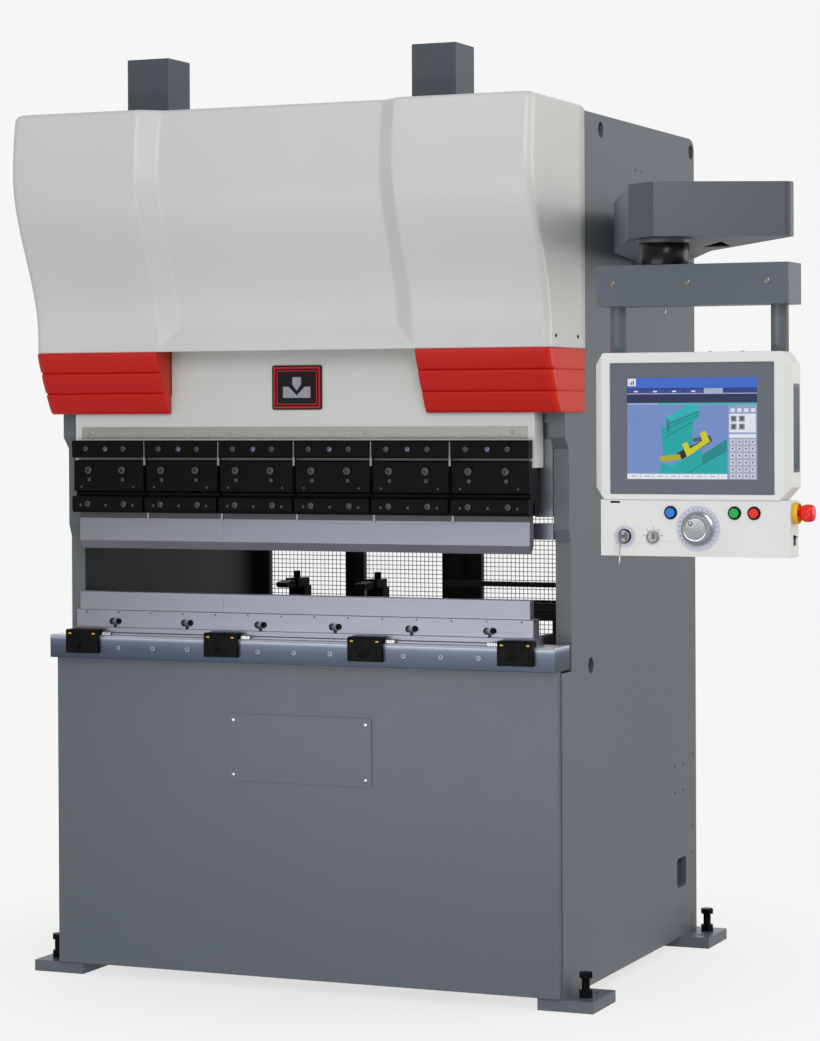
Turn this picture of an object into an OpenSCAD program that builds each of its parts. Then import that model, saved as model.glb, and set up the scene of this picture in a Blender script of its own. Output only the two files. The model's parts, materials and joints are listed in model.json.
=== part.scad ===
// Press brake with a straight-sided frame, a screw-driven ram, sectional tooling,
// a rear backgauge and an operator panel on a swing arm. Millimetres.
// +X is the operator's right, +Y points to the rear, +Z is up.
// The origin lies on the floor, in the middle of the four anchor holes.

/* [Frame] */
// Width over the two side plates
frame_w = 1400; // [1160:1:1700]
// Thickness of a side plate
plate_t = 40; // [32:1:48]
// Distance from the bending line back to the side plates' rear edge
frame_rear = 1089; // [900:1:1320]
// Height of the side plates' top edge
frame_top = 2213; // [2190:1:2700]
// Distance from the bending line back to the side plates' front edge beside the tools
throat_set_back = 75; // [70:1:90]
// Thickness of the front apron
apron_t = 16; // [8:1:20]
// Distance from the bending line forward to the apron's face
apron_front = 10; // [6:1:16]
// Height of the apron's lower edge
apron_low = 32; // [30:1:60]
// Radius of the lifting holes through the side plates
lift_hole_r = 20; // [12:1:26]

/* [Feet] */
// Thickness of a foot plate
foot_t = 29; // [20:1:40]
// Width of a foot plate, along X
foot_w = 145; // [130:1:170]
// Length of a foot plate, along Y
foot_l = 170; // [150:1:220]
// How far a foot plate stands out past its side plate
foot_out = 78; // [70:1:95]
// Radius of the levelling screw
jack_r = 10; // [8:1:12]
// Radius of the anchor hole
anchor_r = 9; // [7:1:11]
// Distance between a levelling screw and its anchor hole
anchor_pitch = 70; // [55:1:80]

/* [Table] */
// Height of the table's top face
table_top = 892; // [860:1:920]
// Height of the table bar's section
table_h = 60; // [50:1:75]
// Distance from the bending line forward to the table bar's face
table_front = 42; // [36:1:50]
// Distance from the bending line back to the table bar's rear face
table_back = 63; // [50:1:66]
// How far the die holder runs past each end of the tooling
die_holder_over = 9; // [0:1:18]
// Height of the stepped base under the die holder
die_base_h = 20; // [14:1:26]
// Height of the die holder above its base
die_holder_h = 45.7; // [40:0.1:52]
// Height of a die above its holder
die_h = 46.7; // [36:0.1:60]
// Width of a die, along Y
die_w = 28; // [22:1:40]
// Width of the die's vee opening
vee_w = 12; // [6:1:20]

/* [Ram] */
// Gap between each end of the tooling and the side plate beside it
tool_gap = 35; // [30:1:80]
// Length of the shorter tool section
tool_short_l = 415; // [300:5:500]
// Open height between the punch tip and the die's top
daylight = 112; // [100:1:125]
// Height of the punch from its tip to its shoulder
punch_h = 80; // [60:1:110]
// Thickness of the punch
punch_w = 27; // [20:1:30]
// Thickness of the punch's tang
tang_w = 14; // [10:0.5:16]
// Height of the tool holders from their foot to the ram's lower edge
holder_h = 118; // [100:1:130]
// Number of tool holders along the ram
holder_count = 6; // [4:1:7]
// Gap between two tool holders
holder_gap = 7; // [4:0.5:12]
// Thickness of the ram plate
ram_t = 60; // [50:1:62]
// Height of the ram plate
ram_h = 432; // [400:1:450]
// Distance from the bending line forward to the ram's face
ram_front = 10; // [6:1:14]

/* [Drive] */
// Distance between the two ball screws
screw_span = 791; // [700:1:820]
// Radius of a ball screw
screw_r = 16; // [12:1:20]
// Side of a servo motor's square body
motor_w = 90; // [70:1:100]
// Side of a motor cover
motor_cover_w = 119; // [112:1:130]
// Height of a motor cover above the hood
motor_cover_h = 143; // [120:1:200]

/* [Hood] */
// How far the hood stands out past each side plate
hood_out = 8.5; // [5:0.5:20]
// Height of the hood's top face above the side plates
hood_rise = 16; // [12:1:24]
// Height of the hood's lower edge, where the corner trims begin
hood_low = 1622; // [1600:1:1640]
// Height of the corner trims' lower edge
trim_low = 1464; // [1455:1:1500]
// Distance from the bending line back to the hood's rear edge
hood_rear = 162; // [120:1:200]
// Distance from the bending line forward to the hood's face at its lower edge
hood_lip = 96; // [85:1:110]
// How far the hood swells forward above its lower edge
hood_swell = 123; // [80:1:140]
// Width of each of the hood's two pillars
pillar_w = 352; // [300:1:420]
// Depth of the sunk panel between the pillars, at the top
sunk_depth = 42; // [20:1:50]
// Thickness of the hood's shell
shell_t = 3; // [2:0.5:5]
// Thickness of a corner trim's shell
trim_t = 4; // [3:0.5:6]
// Outer corner radius of the hood and the trims
corner_r = 22; // [10:1:30]
// Radius of the hood's rounded top edge
crown_r = 18; // [8:1:26]

/* [Backgauge] */
// Distance from the bending line back to the gauge fingers' tips at rest
finger_reach = 205; // [190:1:260]
// Length of a gauge finger, from its tip to its carriage
finger_l = 95; // [80:1:120]
// Depth of the gauge beam, along Y
gauge_beam_d = 60; // [50:1:70]
// Height of the gauge beam's section
gauge_beam_h = 36; // [30:1:42]

/* [Sheet stops] */
// Width of a sheet stop
stop_w = 93; // [70:1:110]
// Distance from each end of the table to the middle of the outer sheet stop
stop_end = 100; // [60:5:160]

/* [Operator panel] */
// Height of the swing arm's section
arm_h = 121; // [100:1:130]
// Height of the swing arm's underside
arm_low = 1853; // [1846:1:1900]
// Distance from the side plate's outer face to the panel's middle
panel_out = 472; // [440:1:520]
// Distance from the bending line forward to the panel's face
panel_front = 441; // [430:1:470]
// Height of the display's middle
display_z = 1427; // [1400:1:1440]
// Width of the display
display_w = 304; // [260:1:320]
// Height of the display
display_h = 228; // [190:1:240]
// Radius of a push-button's cap
button_r = 10.5; // [8:0.5:12]
// Radius of the jog wheel
jog_r = 36; // [28:1:38]

/* [Fits] */
// Radial running clearance of every shaft in its bore
run_gap = 0.05; // [0.02:0.01:0.1]
// Gap between faces of two bodies that slide past each other
slide_gap = 0.4; // [0.3:0.1:1]
// Gap between parts of one body that only lie side by side
seat_gap = 0.2; // [0.1:0.1:0.5]

/* [Hidden] */
$fn = 48;
eps = 1;

// Frame
half_w = frame_w / 2;
side_in = half_w - plate_t;
front_bevel = 13;
shoulder_z = table_top - table_h - 6;
waist_low = 1143;
waist_high = 1403;
hood_set_back = 35;
rear_corner_r = 30;
lift_front = [309, frame_top - 35];
lift_rear = [frame_rear - 28, frame_top - 33];
lift_low = [219, table_top - 62];
hatch_w = 80;
hatch_mid = [frame_rear - 134, 205];
hatch_r = 12;
small_hole_r = 4;
small_holes = [
  for (y = [190, 116], z = [499, 429]) [frame_rear - y, z],
  [frame_rear - 31, 517], [frame_rear - 36, 319], [frame_rear - 39, 245],
  for (y = [583.5, 633.5]) [y, frame_top - 118]
];
apron_inset = 3;
apron_cover_w = 400;
apron_cover_h = 171;
apron_cover_z = 614.5;
apron_screw_in = 16;

// Feet
foot_front = 3;
foot_rear = frame_rear + 30;
jack_inset = 58;
jack_x = half_w + foot_out / 2;
jack_y = [foot_front + jack_inset, foot_rear - jack_inset];
anchor_y = [jack_y[0] + anchor_pitch, jack_y[1] - anchor_pitch];
origin_y = (anchor_y[0] + anchor_y[1]) / 2;
jack_head_af = 30;
jack_head_h = 14;
jack_nut_h = 18;
jack_top = foot_t + 62;

// Table and lower tools
bed_t = 60;
bed_low = 70;
bed_rib = [24, 160];
bed_rib_z = [120, 700];
table_chamfer = 5;
die_base_top = table_top + die_base_h;
holder_top = die_base_top + die_holder_h;
die_top = holder_top + die_h;
die_base_front = 22;
die_base_step = 4;
die_base_back = 44;
die_holder_front = 16;
die_holder_back = 26;
tenon_w = 12;
tenon_h = 8;
tool_l = 2 * (side_in - tool_gap);
die_holder_l = tool_l + 2 * die_holder_over;
slot_count = 6;
slot_pitch = tool_l / slot_count;
slot_w = 36;
slot_h = 18;
slot_z = die_base_top + 15.5;
pin_hole_r = 2;
pin_hole_count = 14;
pin_hole_pitch = (die_holder_l - 59) / (pin_hole_count - 1);
tool_split = -tool_l / 2 + tool_short_l;

// Ram and upper tools
punch_tip = die_top + daylight;
holder_foot = punch_tip + punch_h + 14;
ram_low = holder_foot + holder_h;
ram_top = ram_low + ram_h;
ram_back = ram_t - ram_front;
ram_half = tool_l / 2 + 13;
clamp_face = 42;
holder_face = 32;
holder_back = 30;
clamp_low_h = 42;
cover_low = holder_foot + 56;
cover_high = ram_low + 17;
clamp_top_low = ram_low + 23;
clamp_top_high = ram_low + 68;
holder_pitch = (2 * ram_half - 4) / holder_count;
holder_w = holder_pitch - holder_gap;
tang_top = holder_foot + 30;
punch_bevel_h = 21;
ruler_low = ram_low + 73;
ruler_h = 29;
ruler_l = tool_l - 12;
ruler_t = 2;
badge_w = 138;
badge_h = 112;
badge_low = ram_low + 145;
badge_t = 4;

// Drive
ram_up = 40;
ram_down = 110;
screw_y = 3;
beam_low = frame_top - 133;
beam_t = 50;
nut_low = ram_top - 60;
nut_h = 90;
nut_w = 64;
nut_d = 84;
screw_low = nut_low - ram_down - 20;
notch_w = 2 * screw_r + 46;
notch_low = screw_low - ram_up - 20;
journal_r = screw_r - 4;
bearing_h = 44;
bearing_r = 48;
motor_h = 180;
motor_low = beam_low + beam_t + bearing_h;
journal_top = motor_low - 6;
cover_wall = 2;

// Ram guides
guide_face = ram_back + 5 + slide_gap;
guide_t = 22;
guide_in = side_in - 46;
guide_low = ram_low - 122;
guide_high = ram_low + 70;
guide_top = beam_low - 60;
guide_block_h = 40;

// Hood
hood_half = half_w + hood_out;
hood_top = frame_top + hood_rise;
swell_low = hood_low + 43;
swell_high = hood_top - 159;
crown_tuck = 17;
ledge_h = 63;
side_steps = 6;
crown_low = hood_top - crown_r;
hood_levels = [
  for (k = [0 : 2]) hood_low + ledge_h * k / 2,
  for (k = [1 : 18]) hood_low + ledge_h + (crown_low - hood_low - ledge_h) * k / 18,
  for (a = [15 : 15 : 75]) crown_low + crown_r * sin(a)
];
trim_in = hood_half - pillar_w;
trim_back = -(ram_front + 4);
tier_count = 3;
tier_h = (hood_low - trim_low) / tier_count;
trim_front_top = hood_lip + 4;
trim_front_low = 26;

// Sheet stops
stop_count = 4;
stop_pitch = 2 * (half_w - stop_end) / (stop_count - 1);

// Rear
door_y = frame_rear;
door_t = 26;
door_low = 700;
door_high = 1440;
door_post = 60;
door_gap = 3;
mesh_pitch = 25;
wire = 3;
door_half = half_w - 30;
hinge_r = 7;

// Backgauge
gauge_front = finger_reach + finger_l;
gauge_beam_low = die_base_top + 20;
gauge_beam_top = gauge_beam_low + gauge_beam_h;
gauge_half = side_in - 24;
gauge_rail_x = gauge_half - 40;
gauge_rail_w = 60;
gauge_rail_h = 40;
gauge_rail_top = gauge_beam_low - 30;
gauge_travel = 420;
finger_w = 46;
finger_x = [-150, 75];
finger_top = die_top + 34;
finger_bottom = die_top + 4;

// Operator panel
panel_x = half_w + panel_out;
pivot = [half_w + 72, 650];
pivot_r = 15;
hub = [panel_x - 77, -panel_front + 52];
hub_r = 56;
hub_h = 50;
spigot_r = 18;
arm_wall = 4;
arm_top = arm_low + arm_h;
flange_h = 8;
bar_top = arm_low - flange_h - hub_h;
bar_h = 92;
bar_low = bar_top - bar_h;
bar_d = 104;
bezel_w = display_w + 79;
bezel_h = display_h + 67;
bezel_sunk = 4;
house_face_half = bezel_w / 2 + 20.5;
house_half = house_face_half + 18;
house_top = display_z + bezel_h / 2 + 23.5;
house_low = display_z - bezel_h / 2 - 12.5;
house_corner = [22, 26];
house_foot = [25, 28];
house_d = 80;
grip_half = 98;
tube_r = 20;
tube_x = house_half - 41;
tube_y = -panel_front + 60;
bar_left = panel_x - tube_x - 33;
bar_right = panel_x + tube_x + 37;
box_left = panel_x - 215;
box_right = panel_x + 227;
box_low = house_low - 127;
box_front = panel_front - 4;
box_d = 68;
box_wall = 3;
button_travel = 4;
row_z = house_low - 28.5;
blue_x = panel_x - 49.3;
green_x = panel_x + 99.5;
red_x = panel_x + 144.5;
jog_at = [panel_x + 14.8, house_low - 64];
mode_at = [panel_x - 90.6, house_low - 84];
key_at = [panel_x - 159, house_low - 83];
stop_y = -box_front + box_d / 2;
rocker_z = house_low - 89;
rocker_pin_r = 1.2;

// A profile drawn in (Y, Z) and run along X from x0 to x1.
module along_x(x0, x1) {
  translate([x0, 0, 0]) rotate([90, 0, 90]) linear_extrude(x1 - x0) children();
}

// A profile drawn in (X, Z) and run along Y from y0 to y1.
module along_y(y0, y1) {
  translate([0, y1, 0]) rotate([90, 0, 0]) linear_extrude(y1 - y0) children();
}

// A block between two corners.
module block(low, high) {
  translate(low) cube(high - low);
}

// A round bar along X, Y or Z from one coordinate to another.
module bar_x(at, r, x0, x1) {
  translate([x0, at[0], at[1]]) rotate([0, 90, 0]) cylinder(r = r, h = x1 - x0);
}
module bar_y(at, r, y0, y1) {
  translate([at[0], y1, at[1]]) rotate([90, 0, 0]) cylinder(r = r, h = y1 - y0);
}
module bar_z(at, r, z0, z1) {
  translate([at[0], at[1], z0]) cylinder(r = r, h = z1 - z0);
}

// A rectangle with round corners, centred.
module round_rect(w, h, r) {
  square([w - 2 * r, h], center = true);
  square([w, h - 2 * r], center = true);
  for (x = [-1, 1], y = [-1, 1])
    translate([x * (w / 2 - r), y * (h / 2 - r)]) circle(r);
}

// Everything is drawn from the bending line and moved to the origin here.
module at_bend() {
  translate([0, -origin_y, 0]) children();
}

// Points on an arc, from angle a0 to a1 in n steps.
function arc(c, r, a0, a1, n) =
  [for (k = [0 : n]) c + r * [cos(a0 + (a1 - a0) * k / n), sin(a0 + (a1 - a0) * k / n)]];

// ---- Frame ----

module side_profile() {
  polygon(concat(
    [[apron_t - apron_front + seat_gap, foot_t],
     [apron_t - apron_front + seat_gap, shoulder_z],
     [throat_set_back, shoulder_z],
     [throat_set_back, waist_low],
     [throat_set_back - front_bevel, waist_low + 32],
     [throat_set_back - front_bevel, waist_high - 29],
     [hood_set_back, waist_high],
     [hood_set_back, frame_top]],
    arc([frame_rear - rear_corner_r, frame_top - rear_corner_r], rear_corner_r, 90, 0, 8),
    [[frame_rear, foot_t]]
  ));
}

module side_plate(x0) {
  color("slategray") at_bend() difference() {
    along_x(x0, x0 + plate_t) side_profile();
    for (c = [lift_front, lift_rear, lift_low])
      bar_x(c, lift_hole_r, x0 - eps, x0 + plate_t + eps);
    for (c = small_holes) bar_x(c, small_hole_r, x0 - eps, x0 + plate_t + eps);
    along_x(x0 - eps, x0 + plate_t + eps) translate(hatch_mid) round_rect(hatch_w, hatch_w, hatch_r);
  }
}

module apron() {
  color("slategray") at_bend()
    block([-half_w + apron_inset, -apron_front, apron_low],
      [half_w - apron_inset, apron_t - apron_front, table_top - table_h]);
}

module apron_cover() {
  w = apron_cover_w / 2 - apron_screw_in;
  h = apron_cover_h / 2 - apron_screw_in;
  color("slategray") at_bend() difference() {
    along_y(-apron_front - 3, -apron_front)
      translate([0, apron_cover_z]) round_rect(apron_cover_w, apron_cover_h, 4);
    for (x = [-w, w], z = [-h, h])
      bar_y([x, apron_cover_z + z], 3, -apron_front - 4, -apron_front + eps);
  }
}

module bed_beam() {
  y0 = apron_t - apron_front + seat_gap;
  color("dimgray") at_bend() {
    block([-side_in, y0, bed_low], [side_in, y0 + bed_t, table_top - table_h]);
    for (x = [-1, 1] * side_in / 2)
      block([x - bed_rib[0] / 2, y0 + bed_t, bed_rib_z[0]],
        [x + bed_rib[0] / 2, y0 + bed_t + bed_rib[1], bed_rib_z[1]]);
  }
}

module table_bar() {
  z0 = table_top - table_h;
  color("lightsteelblue") at_bend() along_x(-half_w, half_w) polygon([
    [-table_front, z0], [-table_front, table_top - table_chamfer],
    [-table_front + table_chamfer, table_top], [table_back, table_top], [table_back, z0]
  ]);
}

module die_base() {
  half = die_holder_l / 2 + 6;
  color("lightsteelblue") at_bend() along_x(-half, half) polygon([
    [-die_base_front - die_base_step, table_top], [-die_base_front - die_base_step, table_top + 6],
    [-die_base_front, table_top + 8], [-die_base_front, die_base_top],
    [die_base_back, die_base_top], [die_base_back, table_top]
  ]);
}

module die_holder() {
  half = die_holder_l / 2;
  color("lightsteelblue") at_bend() difference() {
    along_x(-half, half) polygon([
      [-die_holder_front, die_base_top], [-die_holder_front, holder_top - 2],
      [-die_holder_front + 2, holder_top], [-tenon_w / 2 - seat_gap, holder_top],
      [-tenon_w / 2 - seat_gap, holder_top - tenon_h - seat_gap],
      [tenon_w / 2 + seat_gap, holder_top - tenon_h - seat_gap],
      [tenon_w / 2 + seat_gap, holder_top], [die_holder_back - 2, holder_top],
      [die_holder_back, holder_top - 2], [die_holder_back, die_base_top]
    ]);
    for (k = [-(slot_count - 1) / 2 : 1 : (slot_count - 1) / 2]) {
      along_y(-die_holder_front - eps, -die_holder_front + 18)
        translate([k * slot_pitch, slot_z]) round_rect(slot_w, slot_h, slot_h / 2 - 0.01);
      block([k * slot_pitch - 5, -die_holder_front - eps, die_base_top - eps],
        [k * slot_pitch + 5, -die_holder_front + 18, slot_z]);
    }
    for (k = [-(pin_hole_count - 1) / 2 : 1 : (pin_hole_count - 1) / 2])
      bar_y([k * pin_hole_pitch, holder_top - 7], pin_hole_r, -die_holder_front - eps, -die_holder_front + 8);
  }
}

module tool_sections() {
  along_x(-tool_l / 2, tool_split - seat_gap) children();
  along_x(tool_split + seat_gap, tool_l / 2) children();
}

module dies() {
  color("silver") at_bend() tool_sections() polygon([
    [-die_w / 2, holder_top], [-die_w / 2, die_top - 1], [-die_w / 2 + 1, die_top],
    [-vee_w / 2, die_top], [0, die_top - vee_w * 0.52], [vee_w / 2, die_top],
    [die_w / 2 - 1, die_top], [die_w / 2, die_top - 1], [die_w / 2, holder_top],
    [tenon_w / 2, holder_top], [tenon_w / 2, holder_top - tenon_h],
    [-tenon_w / 2, holder_top - tenon_h], [-tenon_w / 2, holder_top]
  ]);
}

module top_beam() {
  z1 = beam_low + beam_t;
  color("dimgray") at_bend() difference() {
    union() {
      block([-side_in, -50, beam_low], [side_in, 240, z1]);
      block([-side_in, 190, beam_low - 260], [side_in, 230, beam_low]);
    }
    for (s = [-1, 1]) bar_z([s * screw_span / 2, screw_y], screw_r + 8, beam_low - eps, z1 + eps);
  }
}

module rear_beam() {
  color("dimgray") at_bend() {
    block([-side_in, frame_rear - 100, frame_top - 260], [side_in, frame_rear - 60, frame_top - 40]);
    block([-side_in, frame_rear - 100, 90], [side_in, frame_rear - 60, 330]);
  }
}

module rear_covers() {
  color("slategray") at_bend() {
    difference() {
      block([-half_w + 4, frame_rear, door_high + 6], [half_w - 4, frame_rear + 3, frame_top - 40]);
      for (x = [-7 : 7], z = [0 : 2])
        translate([x * 34, frame_rear + 2, frame_top - 223 + z * 30]) cube([24, 8, 8], center = true);
    }
    block([-half_w + 4, frame_rear, 60], [half_w - 4, frame_rear + 3, door_low - 6]);
  }
}

module top_cover() {
  color("slategray") at_bend()
    block([-half_w + 2, hood_rear + 1, frame_top], [half_w - 2, frame_rear - rear_corner_r, frame_top + 3]);
}

// ---- Hood ----

function smooth(t) = let(c = min(max(t, 0), 1)) c * c * (3 - 2 * c);

// Y of the pillars' face at height z
function hood_face(z) =
  -hood_lip - hood_swell * smooth((z - swell_low) / (swell_high - swell_low))
  + crown_tuck * pow(max(0, z - swell_high) / (hood_top - swell_high), 2);

// Share of the sunk panel's full form at height z: none at the lower edge, all above the ledge
function ledge(z) = min(1, (z - hood_low) / ledge_h);
function sunk(z) = ledge(z) * (sunk_depth - 17 * (hood_top - z) / (hood_top - hood_low - ledge_h));
function slope_w(z) = 12 + 47 * ledge(z);

// How far the rounded top edge draws the hood's outline in at height z
function crown(z) = crown_r - sqrt(crown_r * crown_r - pow(max(0, z - crown_low), 2));

// Right-hand half of the hood's outline at height z, from the middle to the rear, moved in by t
function hood_half_outline(z, t) =
  let(e = t + crown(z), y = hood_face(z) + e, x = hood_half - e, r = max(2, corner_r - e / 2),
      inner = hood_half - pillar_w)
  concat(
    [[0, y + sunk(z)], [inner - slope_w(z) - 2, y + sunk(z)], [inner - slope_w(z) + 3, y + sunk(z) * 0.94],
     [inner - 5, y + sunk(z) * 0.06], [inner, y]],
    arc([x - r, y + r], r, -90, 0, side_steps),
    [[x, hood_rear - e]]
  );

function full_outline(half) = concat(
  [for (k = [len(half) - 1 : -1 : 1]) [-half[k][0], half[k][1]]],
  half
);

// A shell whose plan follows outer and inner outlines over a list of heights
module loft_shell(outer, inner, heights) {
  n = len(outer[0]);
  m = len(heights);
  ring = 2 * n;
  points = [
    for (i = [0 : m - 1]) each concat(
      [for (p = outer[i]) [p[0], p[1], heights[i]]],
      [for (k = [n - 1 : -1 : 0]) [inner[i][k][0], inner[i][k][1], heights[i]]]
    )
  ];
  walls = [
    for (i = [0 : m - 2], k = [0 : ring - 1])
      let(a = i * ring + k, b = i * ring + (k + 1) % ring)
      each [[a, b + ring, b], [a, a + ring, b + ring]]
  ];
  low_rim = [for (k = [0 : n - 2]) each [[k, k + 1, ring - 2 - k], [k, ring - 2 - k, ring - 1 - k]]];
  high_rim = [
    for (k = [0 : n - 2]) let(o = (m - 1) * ring)
      each [[o + k, o + ring - 2 - k, o + k + 1], [o + k, o + ring - 1 - k, o + ring - 2 - k]]
  ];
  polyhedron(points, concat(walls, low_rim, high_rim));
}

// The hood is open below and behind; its lid has one opening under each motor cover.
module hood_shell() {
  lid_z = hood_top - shell_t;
  levels = [for (z = hood_levels) if (z < lid_z) z, lid_z];
  color("gainsboro") at_bend() {
    loft_shell(
      [for (z = levels) full_outline(hood_half_outline(z, 0))],
      [for (z = levels) full_outline(hood_half_outline(z, shell_t))],
      levels
    );
    translate([0, 0, lid_z]) linear_extrude(shell_t) difference() {
      polygon(full_outline(hood_half_outline(lid_z, 0)));
      for (s = [-1, 1])
        translate([s * screw_span / 2, screw_y]) square(motor_w + 10, center = true);
    }
  }
}

// Y of a corner trim's face at height z, and how far a groove draws it in there
function trim_face(z) =
  let(t = (hood_low - z) / (hood_low - trim_low))
  -trim_front_top + (trim_front_top - trim_front_low) * (0.72 * t + 0.28 * t * t);
tier_steps = [[0, 3.5], [0.05, 0.8], [0.12, 0], [0.5, -1], [0.86, 0.4], [0.95, 1.8]];
trim_rows = concat(
  [for (k = [0 : tier_count - 1], s = tier_steps) [hood_low - tier_h * (k + s[0]), s[1]]],
  [[trim_low, 3.5]]
);
trim_order = [for (k = [len(trim_rows) - 1 : -1 : 0]) trim_rows[k]];

function trim_outline(z, groove, t) =
  let(y = trim_face(z) + groove + t, x = hood_half - t - max(0, groove) / 2, r = corner_r - t,
      inner = trim_in + t, ri = 7)
  concat(
    [[inner, trim_back]],
    arc([inner + ri, y + ri], ri, 180, 270, 3),
    arc([x - r, y + r], r, -90, 0, side_steps),
    [[x, hood_rear]]
  );

module trim(s) {
  color("firebrick") at_bend() mirror([s < 0 ? 1 : 0, 0, 0]) loft_shell(
    [for (row = trim_order) trim_outline(row[0], row[1], 0)],
    [for (row = trim_order) trim_outline(row[0], row[1], trim_t)],
    [for (row = trim_order) row[0]]
  );
}

// ---- Drive ----

module motor_cover(s) {
  c = [s * screw_span / 2, screw_y];
  w = motor_cover_w / 2;
  color("slategray") at_bend() difference() {
    block([c[0] - w, c[1] - w, hood_top], [c[0] + w, c[1] + w, hood_top + motor_cover_h]);
    block([c[0] - w + cover_wall, c[1] - w + cover_wall, hood_top - eps],
      [c[0] + w - cover_wall, c[1] + w - cover_wall, hood_top + motor_cover_h - cover_wall]);
  }
}

module servo_motors() {
  w = motor_w / 2;
  color("black") at_bend() for (s = [-1, 1]) {
    c = [s * screw_span / 2, screw_y];
    translate([c[0], c[1], motor_low]) linear_extrude(12) round_rect(motor_w, motor_w, 6);
    translate([c[0], c[1], motor_low + 12]) linear_extrude(motor_h - 60) round_rect(motor_w - 6, motor_w - 6, 12);
    translate([c[0], c[1], motor_low + motor_h - 48]) linear_extrude(46) round_rect(motor_w - 20, motor_w - 20, 8);
  }
}

module bearing_housings() {
  color("dimgray") at_bend() for (s = [-1, 1]) translate([s * screw_span / 2, screw_y, beam_low + beam_t])
    rotate_extrude() polygon([
      [journal_r + run_gap, 0], [bearing_r, 0], [bearing_r, 12], [bearing_r - 10, 12],
      [bearing_r - 10, bearing_h], [journal_r + run_gap, bearing_h]
    ]);
}

module ball_screw(s) {
  color("silver") at_bend() translate([s * screw_span / 2, screw_y, 0]) rotate_extrude() polygon([
    [0, screw_low], [screw_r - 2, screw_low], [screw_r, screw_low + 2], [screw_r, beam_low + beam_t - 4],
    [journal_r, beam_low + beam_t - 4], [journal_r, journal_top], [0, journal_top]
  ]);
}

module ball_nuts() {
  color("darkgray") at_bend() for (s = [-1, 1]) {
    c = [s * screw_span / 2, screw_y];
    difference() {
      union() {
        block([c[0] - nut_w / 2, -nut_d / 2 + screw_y, nut_low], [c[0] + nut_w / 2, -ram_front, nut_low + nut_h]);
        block([c[0] - notch_w / 2 + 1, -ram_front, nut_low], [c[0] + notch_w / 2 - 1, ram_back, nut_low + nut_h]);
        bar_z(c, screw_r + 17, nut_low + nut_h, nut_low + nut_h + 26);
      }
      bar_z(c, screw_r + run_gap, nut_low - eps, nut_low + nut_h + 27);
    }
  }
}

// ---- Ram ----

module ram() {
  color("gainsboro") at_bend() difference() {
    union() {
      block([-ram_half, -ram_front, ram_low], [ram_half, ram_back, ram_top]);
      for (s = [-1, 1]) translate([s * (ram_half - 24), 0, 0])
        block([-22, ram_back, ram_low + 10], [22, ram_back + 5, ram_top - 20]);
    }
    for (s = [-1, 1]) block([s * screw_span / 2 - notch_w / 2, -ram_front - eps, notch_low],
      [s * screw_span / 2 + notch_w / 2, ram_back + eps, ram_top + eps]);
  }
}

module ruler() {
  color("silver") at_bend()
    block([-ruler_l / 2, -ram_front - ruler_t, ruler_low], [ruler_l / 2, -ram_front, ruler_low + ruler_h]);
}

module ram_badge() {
  color("black") at_bend() along_y(-ram_front - badge_t, -ram_front)
    translate([0, badge_low + badge_h / 2]) round_rect(badge_w, badge_h, 6);
}

module each_holder() {
  for (k = [0 : holder_count - 1])
    translate([(k - (holder_count - 1) / 2) * holder_pitch, 0, 0]) children();
}

module holder_bodies() {
  h = holder_w / 2;
  t = tang_w / 2 + seat_gap;
  color("dimgray") at_bend() each_holder() along_x(-h + 1, h - 1) polygon([
    [t, holder_foot], [holder_back - 8, holder_foot], [holder_back, holder_foot + 10], [holder_back, ram_low],
    [-ram_front - seat_gap, ram_low], [-ram_front - seat_gap, cover_high],
    [-holder_face + 3, cover_high], [-holder_face, cover_high - 3],
    [-holder_face, cover_low], [-holder_face + 12, cover_low - 4],
    [-holder_face + 12, holder_foot + clamp_low_h + seat_gap],
    [-t, holder_foot + clamp_low_h + seat_gap], [-t, tang_top + 1], [t, tang_top + 1]
  ]);
}

module holder_clamps() {
  h = holder_w / 2;
  t = tang_w / 2 + seat_gap;
  color("black") at_bend() each_holder() {
    along_x(-h, h) polygon([
      [-ram_front, clamp_top_low], [-clamp_face + 4, clamp_top_low], [-clamp_face, clamp_top_low + 4],
      [-clamp_face, clamp_top_high - 4], [-clamp_face + 4, clamp_top_high], [-ram_front, clamp_top_high]
    ]);
    along_x(-h, h) polygon([
      [-t, holder_foot], [-clamp_face + 5, holder_foot], [-clamp_face, holder_foot + 8],
      [-clamp_face, holder_foot + clamp_low_h - 3], [-clamp_face + 3, holder_foot + clamp_low_h],
      [-t, holder_foot + clamp_low_h]
    ]);
  }
}

module punches() {
  p = punch_w / 2;
  color("silver") at_bend() tool_sections() polygon([
    [-0.6, punch_tip + 0.4], [0, punch_tip], [0.6, punch_tip + 0.4],
    [p, punch_tip + punch_bevel_h], [p, punch_tip + punch_h - 9], [p - 2, punch_tip + punch_h - 9],
    [p - 2, holder_foot - 0.5], [tang_w / 2, holder_foot - 0.5], [tang_w / 2, tang_top],
    [-tang_w / 2, tang_top], [-tang_w / 2, holder_foot - 0.5], [-p + 2, holder_foot - 0.5],
    [-p + 2, punch_tip + punch_h - 9], [-p, punch_tip + punch_h - 9], [-p, punch_tip + punch_bevel_h]
  ]);
}

module ram_guides() {
  color("silver") at_bend() for (s = [-1, 1]) mirror([s < 0 ? 1 : 0, 0, 0]) {
    block([guide_in, guide_face, guide_low], [side_in, guide_face + guide_t, guide_high]);
    block([guide_in, guide_face, guide_high + guide_block_h], [side_in, guide_face + guide_t, guide_top]);
    block([guide_in - 6, guide_face - 2 + guide_t / 2, guide_high],
      [side_in, guide_face + guide_t + 12, guide_high + guide_block_h]);
    block([guide_in - 6, guide_face + 2, guide_low - guide_block_h - 16],
      [side_in, guide_face + guide_t + 12, guide_low - 16]);
  }
}

// ---- Feet ----

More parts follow.
